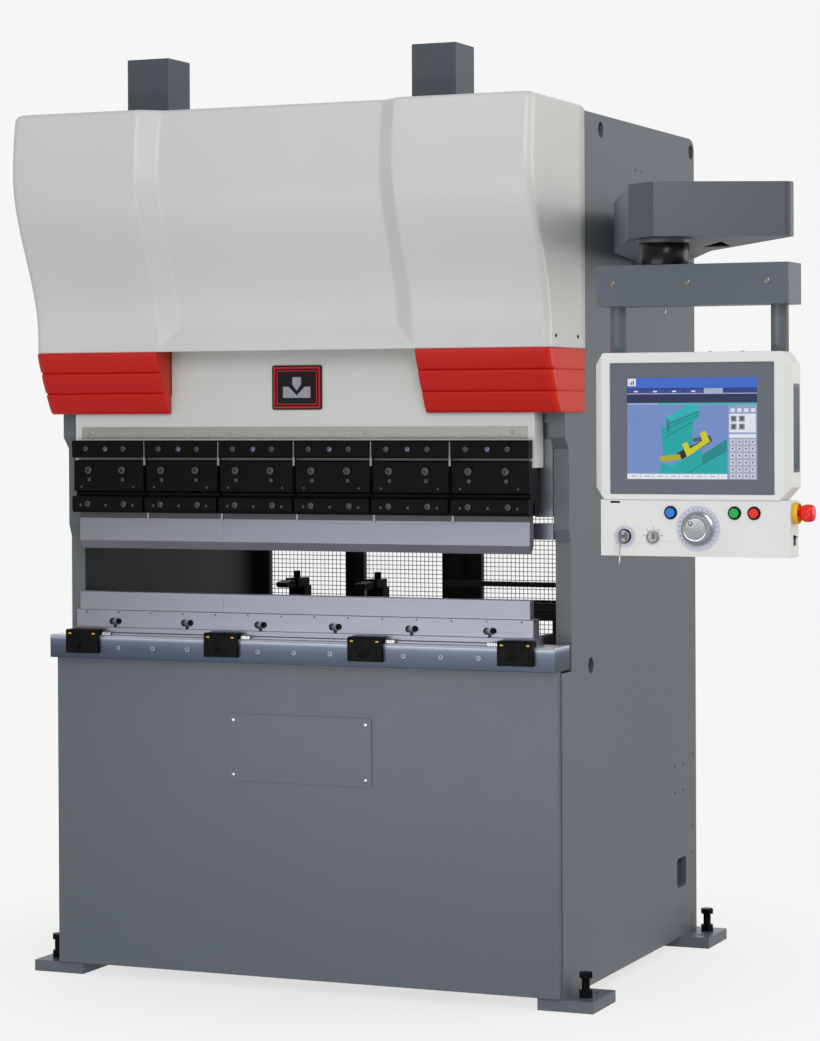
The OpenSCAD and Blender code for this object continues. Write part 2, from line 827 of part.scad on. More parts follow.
module each_foot() {
  for (s = [-1, 1], k = [0, 1]) translate([s * jack_x, jack_y[k], 0]) children();
}

module foot_plates() {
  x1 = half_w + foot_out;
  color("slategray") at_bend() difference() {
    for (s = [-1, 1], y = [foot_front, foot_rear - foot_l])
      block([s > 0 ? x1 - foot_w : -x1, y, 0], [s > 0 ? x1 : -x1 + foot_w, y + foot_l, foot_t]);
    each_foot() translate([0, 0, -eps]) cylinder(r = jack_r + seat_gap, h = foot_t + 2);
    for (s = [-1, 1], y = anchor_y) bar_z([s * jack_x, y], anchor_r, -eps, foot_t + eps);
  }
}

module levelling_screws() {
  color("black") at_bend() each_foot() {
    translate([0, 0, 1]) cylinder(r = jack_r, h = jack_top - 1);
    translate([0, 0, foot_t]) cylinder(r = jack_head_af / sqrt(3), h = jack_nut_h, $fn = 6);
    translate([0, 0, jack_top - jack_head_h]) cylinder(r = jack_head_af / sqrt(3), h = jack_head_h, $fn = 6);
  }
}

// ---- Rear doors ----

module door_frame(x0, x1) {
  mid = (x0 + x1) / 2;
  difference() {
    block([x0, door_y + 4, door_low], [x1, door_y + door_t, door_high]);
    for (w = [[x0 + door_post, mid - door_post / 2], [mid + door_post / 2, x1 - door_post]])
      block([w[0], door_y, door_low + door_post], [w[1], door_y + door_t + eps, door_high - door_post]);
  }
}

module door_wires(x0, x1) {
  n = floor((x1 - x0 - 2 * door_post) / mesh_pitch);
  m = floor((door_high - door_low - 2 * door_post) / mesh_pitch);
  for (k = [1 : n]) let(x = x0 + door_post + k * (x1 - x0 - 2 * door_post) / (n + 1))
    block([x - wire / 2, door_y + 12, door_low + door_post], [x + wire / 2, door_y + 12 + wire, door_high - door_post]);
  for (k = [1 : m]) let(z = door_low + door_post + k * (door_high - door_low - 2 * door_post) / (m + 1))
    block([x0 + door_post, door_y + 12 + wire, z - wire / 2], [x1 - door_post, door_y + 12 + 2 * wire, z + wire / 2]);
}

module rear_door(s) {
  x0 = door_gap / 2;
  x1 = door_half;
  color("black") at_bend() mirror([s < 0 ? 1 : 0, 0, 0]) {
    door_frame(x0, x1);
    for (z = [door_low + 60, door_high - 160])
      bar_z([x1 + hinge_r, door_y + 4 + hinge_r], hinge_r, z, z + 100);
    door_wires(x0, x1);
  }
}

// ---- Backgauge ----

module gauge_rails() {
  y0 = 180;
  y1 = gauge_front + gauge_beam_d + gauge_travel;
  color("dimgray") at_bend() for (s = [-1, 1]) mirror([s < 0 ? 1 : 0, 0, 0]) {
    difference() {
      block([gauge_rail_x - gauge_rail_w / 2, y0, gauge_rail_top - gauge_rail_h],
        [gauge_rail_x + gauge_rail_w / 2, y1, gauge_rail_top]);
      block([gauge_rail_x - 8, y0 + 20, gauge_rail_top - 10], [gauge_rail_x + 8, y1 - 20, gauge_rail_top + eps]);
    }
    for (y = [y0 + 30, y1 - 110])
      block([gauge_rail_x + gauge_rail_w / 2, y, gauge_rail_top - gauge_rail_h + 4],
        [side_in, y + 80, gauge_rail_top - 12]);
  }
}

module gauge_beam() {
  y = gauge_front;
  color("black") at_bend() {
    difference() {
      block([-gauge_half, y, gauge_beam_low], [gauge_half, y + gauge_beam_d, gauge_beam_top]);
      for (z = [gauge_beam_low + gauge_beam_h / 2])
        block([-gauge_half - eps, y - eps, z - 4], [gauge_half + eps, y + 6, z + 4]);
    }
    for (s = [-1, 1])
      block([s * gauge_rail_x - 28, y, gauge_rail_top + slide_gap], [s * gauge_rail_x + 28, y + gauge_beam_d, gauge_beam_low]);
    block([-gauge_half + 20, y + 20, gauge_beam_top], [gauge_half - 20, y + 40, gauge_beam_top + 8]);
  }
}

module drag_chain() {
  x0 = 240;
  x1 = gauge_half - 24;
  z0 = gauge_beam_top;
  r = 30;
  color("black") at_bend() along_y(gauge_front + 44, gauge_front + gauge_beam_d) difference() {
    union() {
      translate([x0, z0]) square([x1 - r - x0, 2 * r]);
      translate([x1 - r, z0 + r]) circle(r);
    }
    translate([x0 - eps, z0 + 14]) square([x1 - r - x0 + eps, 2 * r - 28]);
    translate([x1 - r, z0 + r]) circle(r - 14);
  }
}

module finger(k) {
  x = finger_x[k];
  y = finger_reach;
  s = k == 0 ? -1 : 1;
  color("dimgray") at_bend() {
    difference() {
      block([x - finger_w / 2, gauge_front, gauge_beam_top + slide_gap],
        [x + finger_w / 2, gauge_front + 42, finger_bottom]);
      block([x - finger_w, gauge_front + 20 - slide_gap, gauge_beam_top],
        [x + finger_w, gauge_front + 40 + slide_gap, gauge_beam_top + 8 + slide_gap]);
    }
    block([x - finger_w / 2 + 4, gauge_front - 30, finger_bottom], [x + finger_w / 2 - 4, gauge_front + 36, finger_top - 8]);
    along_x(x - 15, x + 15) polygon([
      [y, finger_bottom + 4], [y + 14, finger_bottom], [gauge_front - 30, finger_bottom],
      [gauge_front - 30, finger_top - 12], [y + 40, finger_top - 12], [y, finger_bottom + 14]
    ]);
    bar_z([x + s * 4, gauge_front + 10], 9, finger_top - 8, finger_top + 10);
  }
}

// ---- Sheet stops ----

module stop_block(k) {
  x = (k - (stop_count + 1) / 2) * stop_pitch;
  y = -table_front - slide_gap;
  back = -die_base_front - die_base_step - slide_gap;
  color("black") at_bend() difference() {
    along_x(x - stop_w / 2, x + stop_w / 2) polygon([
      [y - 12, table_top - 46], [y - 12, table_top + 12], [y - 8, table_top + 15], [back, table_top + 15],
      [back, table_top + slide_gap], [y, table_top + slide_gap], [y, table_top - 46]
    ]);
    bar_y([x - 6, table_top - 27], 8, y - 12 - eps, y - 5);
  }
}

// ---- Swing arm and operator panel ----

arm_plan = concat(
  [[panel_x - 132, -480], [panel_x - 52, -545]],
  arc([panel_x + 200, -400], 26, -60, 20, 5),
  [[panel_x - 122, 110], [half_w + 150, 560]],
  arc(pivot, 62, 20, 150, 7),
  [[half_w + 22, 520], [half_w + 120, 60]]
);

module arm_bracket() {
  color("dimgray") at_bend() {
    block([half_w, pivot[1] - 90, arm_low - 40], [half_w + 9, pivot[1] + 90, arm_top + 40]);
    for (z = [[arm_low - 16, arm_low - slide_gap], [arm_top + slide_gap, arm_top + 16]]) {
      bar_z(pivot, 34, z[0], z[1]);
      block([half_w + 9, pivot[1] - 34, z[0]], [pivot[0], pivot[1] + 34, z[1]]);
    }
    bar_z(pivot, pivot_r, arm_low - 16, arm_top + 16);
  }
}

module swing_arm() {
  color("slategray") at_bend() difference() {
    union() {
      difference() {
        translate([0, 0, arm_low]) linear_extrude(arm_h) polygon(arm_plan);
        translate([0, 0, arm_low + arm_wall]) linear_extrude(arm_h - 2 * arm_wall)
          offset(delta = -arm_wall) polygon(arm_plan);
        translate([0, 0, arm_low - eps]) linear_extrude(arm_wall + 2 * eps) polygon([
          [panel_x + 20, -270], [panel_x - 20, -60], [panel_x - 90, -60]
        ]);
      }
      bar_z(pivot, 30, arm_low, arm_top);
      bar_z(hub, 40, arm_low, arm_low + 60);
      bar_z(hub, hub_r + 7, arm_low - flange_h, arm_low);
    }
    bar_z(pivot, pivot_r + run_gap, arm_low - eps, arm_top + eps);
    bar_z(hub, spigot_r + run_gap, arm_low - flange_h - eps, arm_low + 40);
  }
}

module swivel_hub() {
  z1 = arm_low - flange_h - slide_gap;
  color("black") at_bend() {
    bar_z(hub, hub_r, bar_top, z1);
    bar_z(hub, spigot_r, z1, arm_low + 36);
  }
}

module panel_hanger() {
  y0 = -panel_front;
  color("slategray") at_bend() {
    difference() {
      block([bar_left, y0, bar_low], [bar_right, y0 + bar_d, bar_top]);
      block([bar_left + 3, y0 + 3, bar_low + 3], [bar_right - 3, y0 + bar_d + eps, bar_top - 3]);
    }
    for (s = [-1, 1]) difference() {
      bar_z([panel_x + s * tube_x, tube_y], tube_r, house_top, bar_low);
      bar_z([panel_x + s * tube_x, tube_y], tube_r - 3, house_top - eps, bar_low + eps);
    }
  }
}

module house_outline() {
  half = [
    [house_half - house_foot[0], house_low], [house_half, house_low + house_foot[1]],
    [house_half, house_top - house_corner[1]], [house_half - house_corner[0], house_top]
  ];
  translate([panel_x, 0]) polygon(concat(half, [for (k = [3 : -1 : 0]) [-half[k][0], half[k][1]]]));
}

module panel_housing() {
  y0 = -panel_front;
  color("gainsboro") at_bend() difference() {
    intersection() {
      along_y(y0, y0 + house_d) house_outline();
      translate([panel_x, 0, house_low - eps]) linear_extrude(house_top - house_low + 2) polygon([
        [-house_face_half, y0], [house_face_half, y0], [house_half, y0 + 16], [house_half, y0 + house_d],
        [-house_half, y0 + house_d], [-house_half, y0 + 16]
      ]);
    }
    block([panel_x - bezel_w / 2, y0 - eps, display_z - bezel_h / 2],
      [panel_x + bezel_w / 2, y0 + bezel_sunk + 3, display_z + bezel_h / 2]);
    block([panel_x - bezel_w / 2 + 12, y0, display_z - bezel_h / 2 + 12],
      [panel_x + bezel_w / 2 - 12, y0 + house_d - 4, display_z + bezel_h / 2 - 12]);
    for (s = [-1, 1])
      block([panel_x + s * house_half - 4, y0 + 22, display_z - grip_half],
        [panel_x + s * house_half + 4, y0 + house_d - 6, display_z + grip_half]);
  }
}

module panel_bezel() {
  y0 = -panel_front + bezel_sunk;
  color("slategray") at_bend() difference() {
    along_y(y0, y0 + 3) translate([panel_x, display_z]) square([bezel_w - 0.4, bezel_h - 0.4], center = true);
    along_y(y0 - eps, y0 + 4) translate([panel_x, display_z]) square([display_w, display_h], center = true);
  }
}

module display() {
  y0 = -panel_front + bezel_sunk;
  color("royalblue") at_bend() along_y(y0 + 1, y0 + 8)
    translate([panel_x, display_z]) square([display_w - 0.4, display_h - 0.4], center = true);
}

module control_box() {
  y0 = -box_front;
  z1 = house_low;
  color("gainsboro") at_bend() difference() {
    block([box_left, y0, box_low], [box_right, y0 + box_d, z1]);
    block([box_left + box_wall, y0 + box_wall, box_low + box_wall],
      [box_right - box_wall, y0 + box_d - box_wall, z1 - box_wall]);
    for (x = [blue_x, green_x, red_x]) bar_y([x, row_z], button_r + slide_gap, y0 - eps, y0 + box_wall + eps);
    for (c = [jog_at, mode_at, key_at]) bar_y(c, 6 + run_gap, y0 - eps, y0 + box_wall + eps);
    bar_x([stop_y, row_z], 8 + slide_gap, box_right - box_wall - eps, box_right + eps);
    block([box_right - box_wall - eps, stop_y - 8, rocker_z - 12], [box_right + eps, stop_y + 8, rocker_z + 12]);
    block([panel_x - 192, y0 - eps, house_low - 8], [panel_x - 170, y0 + box_wall + eps, house_low - 3.5]);
  }
}

module push_button(x, paint) {
  y0 = -box_front;
  color(paint) at_bend() bar_y([x, row_z], button_r, y0 - button_travel - 3, y0 + 16);
}

module stop_mushroom() {
  color("red") at_bend() translate([box_right, stop_y, row_z]) rotate([0, 90, 0]) rotate_extrude() polygon([
    [0, -16], [8, -16], [8, 12], [14, 15], [17, 20], [20, 32], [19, 40], [14, 45], [0, 47]
  ]);
}

module jog_wheel() {
  y0 = -box_front;
  color("silver") at_bend() translate([jog_at[0], y0, jog_at[1]]) rotate([90, 0, 0]) rotate_extrude() polygon([
    [0, -14], [6, -14], [6, 3], [jog_r + 3, 3], [jog_r + 3, 6], [jog_r, 9], [jog_r - 4, 24], [jog_r - 9, 26],
    [jog_r - 12, 22], [0, 22]
  ]);
}

module mode_selector() {
  y0 = -box_front;
  color("silver") at_bend() {
    translate([mode_at[0], y0, mode_at[1]]) rotate([90, 0, 0]) rotate_extrude() polygon([
      [0, -14], [6, -14], [6, 1], [15, 1], [15, 6], [10, 10], [0, 10]
    ]);
    block([mode_at[0] - 3, y0 - 22, mode_at[1] - 4], [mode_at[0] + 3, y0 - 9, mode_at[1] + 11]);
  }
}

module key_switch() {
  y0 = -box_front;
  color("silver") at_bend() {
    translate([key_at[0], y0, key_at[1]]) rotate([90, 0, 0]) rotate_extrude() polygon([
      [0, -14], [6, -14], [6, 1], [14, 1], [14, 7], [11, 10], [0, 10]
    ]);
    block([key_at[0] - 1.2, y0 - 24, key_at[1] - 4], [key_at[0] + 1.2, y0 - 8, key_at[1] + 4]);
    block([key_at[0] - 1.2, y0 - 44, key_at[1] - 11], [key_at[0] + 1.2, y0 - 24, key_at[1] + 11]);
  }
}

module power_rocker() {
  color("black") at_bend() {
    along_y(stop_y - 7, stop_y + 7) polygon([
      [box_right - 2, rocker_z - 10], [box_right + 2, rocker_z - 10], [box_right + 1.2, rocker_z],
      [box_right + 5, rocker_z + 10], [box_right - 2, rocker_z + 10]
    ]);
    bar_y([box_right, rocker_z], rocker_pin_r, stop_y - 7.6, stop_y + 7.6);
  }
}

side_plate(-half_w);  // side_plate_left
side_plate(side_in);  // side_plate_right
apron();
apron_cover();
bed_beam();
table_bar();
die_base();
die_holder();
dies();
top_beam();
rear_beam();
rear_covers();
top_cover();
hood_shell();
trim(-1);  // trim_left
trim(1);  // trim_right
motor_cover(-1);  // motor_cover_left
motor_cover(1);  // motor_cover_right
servo_motors();
bearing_housings();
ram_guides();
foot_plates();
levelling_screws();
arm_bracket();
gauge_rails();
ram();
ruler();
ram_badge();
holder_bodies();
holder_clamps();
punches();
ball_nuts();
ball_screw(-1);  // ball_screw_left
ball_screw(1);  // ball_screw_right
rear_door(-1);  // rear_door_left
rear_door(1);  // rear_door_right
gauge_beam();
drag_chain();
finger(0);  // finger_left
finger(1);  // finger_right
stop_block(1);  // stop_1
stop_block(2);  // stop_2
stop_block(3);  // stop_3
stop_block(4);  // stop_4
swing_arm();
swivel_hub();
panel_hanger();
panel_housing();
panel_bezel();
display();
control_box();
push_button(blue_x, "dodgerblue");  // blue_button
push_button(green_x, "green");  // green_button
push_button(red_x, "red");  // red_button
stop_mushroom();
jog_wheel();
mode_selector();
key_switch();
power_rocker();
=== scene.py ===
"""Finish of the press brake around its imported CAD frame: paint, steel, plastics and small parts.
Metres, +Z up, in the frame of the CAD part."""
import json
import math

import bmesh
import bpy
from mathutils import Matrix, Vector


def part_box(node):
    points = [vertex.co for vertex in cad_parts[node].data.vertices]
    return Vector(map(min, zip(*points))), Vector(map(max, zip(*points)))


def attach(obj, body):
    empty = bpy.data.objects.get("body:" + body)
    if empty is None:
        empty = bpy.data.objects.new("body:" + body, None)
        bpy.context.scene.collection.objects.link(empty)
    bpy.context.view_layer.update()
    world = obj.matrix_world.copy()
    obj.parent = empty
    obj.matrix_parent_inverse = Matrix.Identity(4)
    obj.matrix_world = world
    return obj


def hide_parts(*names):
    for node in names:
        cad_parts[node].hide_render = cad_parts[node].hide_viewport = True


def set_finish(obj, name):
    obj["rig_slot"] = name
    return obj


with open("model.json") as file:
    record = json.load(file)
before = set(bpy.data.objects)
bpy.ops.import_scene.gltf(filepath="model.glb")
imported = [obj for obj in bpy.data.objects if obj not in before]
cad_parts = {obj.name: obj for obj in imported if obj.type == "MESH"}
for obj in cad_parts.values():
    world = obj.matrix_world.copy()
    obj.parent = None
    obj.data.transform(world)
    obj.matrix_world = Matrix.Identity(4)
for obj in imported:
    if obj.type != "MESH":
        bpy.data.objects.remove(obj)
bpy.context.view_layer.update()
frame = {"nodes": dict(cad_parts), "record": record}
MM = 0.001
ROOM_LIGHT = 0.56
FLOOR_GLOW = 0.52
LENS_MM = 102.688
CAMERA_PLACE = (3.1801, -6.8003, 1.4707)
WARM = (1, 0.94, 0.88)
SIDES = {"left": -1, "right": 1}

# The bending line, where punch and die meet, is the machine's own reference across Y.
bend_y = (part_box("punches")[0].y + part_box("punches")[1].y) / 2


# ---- Camera, light and floor ----

def camera():
    """A long lens at standing height, to the machine's right-hand front."""
    yaw, pitch, roll = math.radians(22.93), math.radians(-0.56), math.radians(-0.27)
    data = bpy.data.cameras.new("camera")
    data.sensor_width = 36
    data.lens = LENS_MM
    data.shift_y = -0.078
    data.clip_end = 60
    cam = bpy.data.objects.new("camera", data)
    bpy.context.scene.collection.objects.link(cam)
    turn = Matrix.Rotation(yaw, 4, "Z") @ Matrix.Rotation(math.pi / 2 + pitch, 4, "X")
    place = Matrix.Translation(Vector(CAMERA_PLACE) + Vector((0, bend_y, 0)))
    cam.matrix_world = place @ turn @ Matrix.Rotation(roll, 4, "Z")
    bpy.context.scene.camera = cam


def area_light(name, place, target, size, power, colour=(1, 1, 1)):
    data = bpy.data.lights.new(name, "AREA")
    data.shape = "RECTANGLE"
    data.size, data.size_y = size
    data.energy = power
    data.color = colour
    light = bpy.data.objects.new(name, data)
    light.location = place
    light.rotation_euler = (Vector(target) - Vector(place)).to_track_quat("-Z", "Y").to_euler()
    light.visible_camera = False
    bpy.context.scene.collection.objects.link(light)


def studio():
    """Soft boxes in front and above, a pale floor and a pale surround."""
    middle = Vector((0, 0, 1.2))
    area_light("front_box", (3.0, -5.8, 3.6), middle, (2.0, 2.4), 118)
    area_light("low_box", (-0.4, -4.6, 0.35), (0, -0.6, 0.5), (4.0, 0.6), 36)
    area_light("top_box", (0.2, -1.6, 4.6), (0, 0, 1.0), (3.0, 2.0), 8)
    area_light("side_box", (5.2, -0.4, 3.0), middle, (3.2, 3.2), 26, WARM)
    area_light("side_rear_box", (4.6, 2.2, 2.2), (0.7, 0.2, 1.5), (3.0, 3.0), 84, WARM)
    area_light("rear_box", (-2.0, 5.4, 3.4), middle, (3.6, 3.0), 60)
    surround()
    bpy.context.scene.view_settings.view_transform = "Standard"


def surround():
    """A pale room: the camera sees one even tone, and the walls light the machine more softly."""
    world = bpy.data.worlds.new("surround")
    world.use_nodes = True
    tree = world.node_tree
    background = tree.nodes["Background"]
    background.inputs["Strength"].default_value = ROOM_LIGHT
    seen = add_node(tree, "ShaderNodeBackground", {"Color": srgb(246, 246, 246), "Strength": 1.0})
    path = add_node(tree, "ShaderNodeLightPath")
    mix = add_node(tree, "ShaderNodeMixShader", {0: path.outputs["Is Camera Ray"]})
    tree.links.new(background.outputs[0], mix.inputs[1])
    tree.links.new(seen.outputs[0], mix.inputs[2])
    tree.links.new(mix.outputs[0], tree.nodes["World Output"].inputs["Surface"])
    background.inputs["Color"].default_value = (0.93, 0.95, 1.0, 1)
    bpy.context.scene.world = world

    mesh = bpy.data.meshes.new("floor")
    half = 40
    corners = [(-half, -half, 0), (half, -half, 0), (half, half, 0), (-half, half, 0)]
    mesh.from_pydata(corners, [], [(0, 1, 2, 3)])
    floor = bpy.data.objects.new("floor", mesh)
    bpy.context.scene.collection.objects.link(floor)
    mesh.materials.append(floor_paint())


# ---- Node helpers, for materials and for geometry ----

def add_node(tree, kind, inputs=None, **settings):
    """A node with its settings, and its inputs set to values or joined to sockets."""
    made = tree.nodes.new(kind)
    for key, value in settings.items():
        setattr(made, key, value)
    for key, value in (inputs or {}).items():
        if isinstance(value, bpy.types.NodeSocket):
            tree.links.new(value, made.inputs[key])
        else:
            made.inputs[key].default_value = value
    return made


def srgb(r, g, b):
    """A linear colour from the 0 to 255 values of a colour chart."""
    def linear(v):
        v /= 255
        return v / 12.92 if v <= 0.04045 else ((v + 0.055) / 1.055) ** 2.4
    return (linear(r), linear(g), linear(b), 1)


def dimmed(colour, share):
    return tuple(share * c for c in colour[:3]) + (1,)


class Finish:
    """A material on object coordinates, with its principled shader to hand."""

    def __init__(self, name, rough, metal=0.0, **sockets):
        self.material = bpy.data.materials.new(name)
        self.material.use_nodes = True
        self.tree = self.material.node_tree
        self.shader = self.tree.nodes["Principled BSDF"]
        self.shader.inputs["Roughness"].default_value = rough
        self.shader.inputs["Metallic"].default_value = metal
        for key, value in sockets.items():
            self.shader.inputs[key.replace("_", " ")].default_value = value
        self.place = add_node(self.tree, "ShaderNodeTexCoord").outputs["Object"]

    def add(self, kind, inputs=None, **settings):
        return add_node(self.tree, kind, inputs, **settings)

    def join(self, source, socket):
        self.tree.links.new(source, self.shader.inputs[socket])

    def stretched(self, scale):
        """The place, scaled apart along X, Y and Z."""
        return self.add("ShaderNodeMapping", {"Vector": self.place, "Scale": scale}).outputs["Vector"]

    def noise(self, scale, detail=3.0, place=None, rough=0.5):
        return self.add("ShaderNodeTexNoise", {
            "Vector": place or self.place, "Scale": scale, "Detail": detail, "Roughness": rough,
        }).outputs["Fac"]

    def spread(self, source, low, high, start=0.3, end=0.7):
        """A 0 to 1 pattern turned into values from low to high."""
        return self.add("ShaderNodeMapRange", {
            "Value": source, "From Min": start, "From Max": end, "To Min": low, "To Max": high,
        }).outputs["Result"]

    def tint(self, source, low, high, socket="Base Color"):
        """A colour, by custom the base colour, runs from low to high with the pattern."""
        mix = self.add("ShaderNodeMix", data_type="RGBA")
        mix.inputs[6].default_value = low
        mix.inputs[7].default_value = high
        self.tree.links.new(source, mix.inputs[0])
        self.join(mix.outputs[2], socket)

    def relief(self, source, height, distance=0.001):
        bump = self.add("ShaderNodeBump", {"Height": source, "Strength": height, "Distance": distance})
        self.join(bump.outputs["Normal"], "Normal")


def floor_paint():
    """A pale floor that takes the machine's soft shadow and runs out into the surround's tone."""
    finish = Finish("floor_paint", 0.8)
    finish.tint(finish.spread(finish.noise(0.6), 0, 1), srgb(238, 238, 238), srgb(242, 242, 242))
    reach = finish.add("ShaderNodeVectorMath", {0: finish.place}, operation="LENGTH").outputs["Value"]
    far = finish.add("ShaderNodeMapRange", {"Value": reach, "From Min": 0.5, "From Max": 1.6, "To Min": 0.74},
                     interpolation_type="SMOOTHSTEP")
    path = finish.add("ShaderNodeLightPath")
    strength = finish.add("ShaderNodeMapRange", {
        "Value": path.outputs["Is Camera Ray"], "To Min": FLOOR_GLOW, "To Max": 1.0,
    })
    glow = finish.add("ShaderNodeEmission", {
        "Color": srgb(246, 246, 246), "Strength": strength.outputs["Result"],
    })
    mix = finish.add("ShaderNodeMixShader", {0: far.outputs["Result"]})
    finish.tree.links.new(finish.shader.outputs[0], mix.inputs[1])
    finish.tree.links.new(glow.outputs[0], mix.inputs[2])
    finish.tree.links.new(mix.outputs[0], finish.tree.nodes["Material Output"].inputs["Surface"])
    return finish.material


def paint(name, colour, shade, rough=0.42, peel=0.12, coat=0.0):
    """Sprayed paint: a faint cloud in its colour and the fine peel of the spray."""
    finish = Finish(name, rough, Coat_Weight=coat, Coat_Roughness=0.12)
    cloud = finish.noise(2.2, 4)
    finish.tint(finish.spread(cloud, 0, 1), shade, colour)
    finish.join(finish.spread(finish.noise(14, 5), rough - 0.02, rough + 0.02), "Roughness")
    finish.relief(finish.noise(420, 2), peel, 0.0004)
    return finish.material


def side_plate_paint(name, colour, shade, inner):
    """Frame paint, with a darker tone painted on the inner face, which stands in the machine's shade."""
    finish = Finish(name, 0.4)
    finish.relief(finish.noise(420, 2), 0.12, 0.0004)
    across = finish.add("ShaderNodeSeparateXYZ", {0: finish.place}).outputs["X"]
    out = finish.add("ShaderNodeMath", {0: across}, operation="ABSOLUTE").outputs[0]
    finish.tint(finish.spread(out, 0, 1, inner, inner + 0.0004), shade, colour)
    return finish.material


def moulded_red(name, front, side):
    """Moulded red with painted light: a brighter, more orange red is painted on the faces that look sideways,
    in place of the light they catch.
    """
    finish = Finish(name, 0.36, Specular_IOR_Level=0.3)
    normal = finish.add("ShaderNodeNewGeometry").outputs["Normal"]
    across = finish.add("ShaderNodeSeparateXYZ", {0: normal}).outputs["X"]
    sideways_light_mask = finish.add("ShaderNodeMath", {0: across}, operation="ABSOLUTE").outputs[0]
    finish.tint(finish.spread(sideways_light_mask, 0, 1, 0.15, 0.9), front, side)
    finish.relief(finish.noise(420, 2), 0.05, 0.0004)
    return finish.material


def ground_front(name, low_z, high_z):
    """Ground steel with its highlight painted in: bright along the upper edge, darker downwards.
    The band is colour, so it stays where it is under any other light."""
    finish = Finish(name, 0.34, 0.8)
    up = finish.add("ShaderNodeSeparateXYZ", {0: finish.place}).outputs["Z"]
    ramp = finish.add("ShaderNodeValToRGB", {0: finish.spread(up, 0, 1, low_z, high_z)})
    stops = ramp.color_ramp.elements
    stops[0].position, stops[0].color = 0.0, srgb(62, 71, 85)
    stops[1].position, stops[1].color = 1.0, srgb(236, 240, 246)
    for place, tone in ((0.5, (78, 87, 102)), (0.76, (98, 107, 123)), (0.85, (140, 148, 163))):
        stops.new(place).color = srgb(*tone)
    finish.join(ramp.outputs[0], "Base Color")
    lines = finish.noise(1.0, 6, finish.stretched(ALONG_X), 0.7)
    finish.join(finish.spread(lines, 0.3, 0.42), "Roughness")
    finish.relief(lines, 0.2, 0.0003)
    return finish.material


def chrome(name, colour):
    """Turned and plated metal, smooth."""
    finish = Finish(name, 0.2, 1.0)
    cloud = finish.noise(40, 2)
    finish.tint(cloud, dimmed(colour, 0.97), colour)
    finish.join(finish.spread(cloud, 0.18, 0.22), "Roughness")
    return finish.material


def steel(name, colour, shade, rough, grain, depth=0.25):
    """Ground or brushed steel, whose scratches run along the axis with the small number in grain."""
    finish = Finish(name, rough, 1.0)
    lines = finish.noise(1.0, 6, finish.stretched(grain), 0.7)
    finish.tint(finish.spread(lines, 0, 1), shade, colour)
    finish.join(finish.spread(lines, rough - 0.08, rough + 0.1), "Roughness")
    finish.relief(lines, depth, 0.0003)
    return finish.material


def oxide(name, colour, shade, rough=0.38):
    """Black-oxided steel: near black, softly glossy, with a faint cloud from the bath."""
    finish = Finish(name, rough, Specular_IOR_Level=0.09)
    cloud = finish.noise(30, 5)
    finish.tint(finish.spread(cloud, 0, 1), shade, colour)
    finish.join(finish.spread(finish.noise(90, 4), rough - 0.08, rough + 0.12), "Roughness")
    finish.relief(finish.noise(900, 3), 0.15, 0.0002)
    return finish.material


def plastic(name, colour, rough=0.4, grain=700, depth=0.2, shine=0.5):
    """Moulded plastic with a fine spark-eroded grain."""
    finish = Finish(name, rough, Specular_IOR_Level=shine)
    cloud = finish.noise(7, 3)
    finish.tint(finish.spread(cloud, 0, 1), dimmed(colour, 0.94), colour)
    finish.relief(finish.noise(grain, 2), depth, 0.0002)
    return finish.material


def lens(name, colour):
    """Clear coloured plastic over a lamp that is hardly lit."""
    finish = Finish(name, 0.25, Emission_Color=colour, Emission_Strength=0.12)
    finish.tint(finish.spread(finish.noise(160, 2), 0, 1), dimmed(colour, 0.85), colour)
    return finish.material


ALONG_X = (3, 900, 900)
FINISHES = {
    "frame_paint": paint("frame_paint", srgb(88, 96, 103), srgb(86, 94, 101), 0.34),
    "hood_paint": paint("hood_paint", srgb(205, 207, 203), srgb(200, 202, 198), 0.36, 0.1),
    # trim_red carries painted light: a brighter, more orange red on its sideways faces.
    "trim_red": moulded_red("trim_red", srgb(190, 22, 14), srgb(206, 36, 3)),
    "table_steel": steel("table_steel", srgb(112, 121, 138), srgb(86, 95, 110), 0.3, ALONG_X),
    "tool_steel": steel("tool_steel", srgb(146, 147, 158), srgb(130, 131, 142), 0.34, ALONG_X, 0.15),
    "black_oxide": oxide("black_oxide", srgb(8, 8, 9), srgb(4, 4, 5)),
    "dark_steel": steel("dark_steel", srgb(92, 92, 94), srgb(74, 74, 76), 0.45, (60, 60, 60), 0.1),
    "door_black": paint("door_black", srgb(16, 16, 17), srgb(12, 12, 13), 0.45),
    "black_plastic": plastic("black_plastic", srgb(7, 7, 8), 0.24, 700, 0.03, 0.3),
    "panel_white": plastic("panel_white", srgb(222, 223, 220), 0.42),
    "bezel_grey": plastic("bezel_grey", srgb(92, 98, 108), 0.5),
    "screen": plastic("screen", srgb(60, 80, 130), 0.2, 100, 0.0),
    "knob_metal": chrome("knob_metal", srgb(182, 184, 188)),
    "blue_cap": lens("blue_cap", srgb(0, 120, 205)),
    "green_cap": lens("green_cap", srgb(0, 165, 62)),
    "red_cap": lens("red_cap", srgb(222, 18, 10)),
}
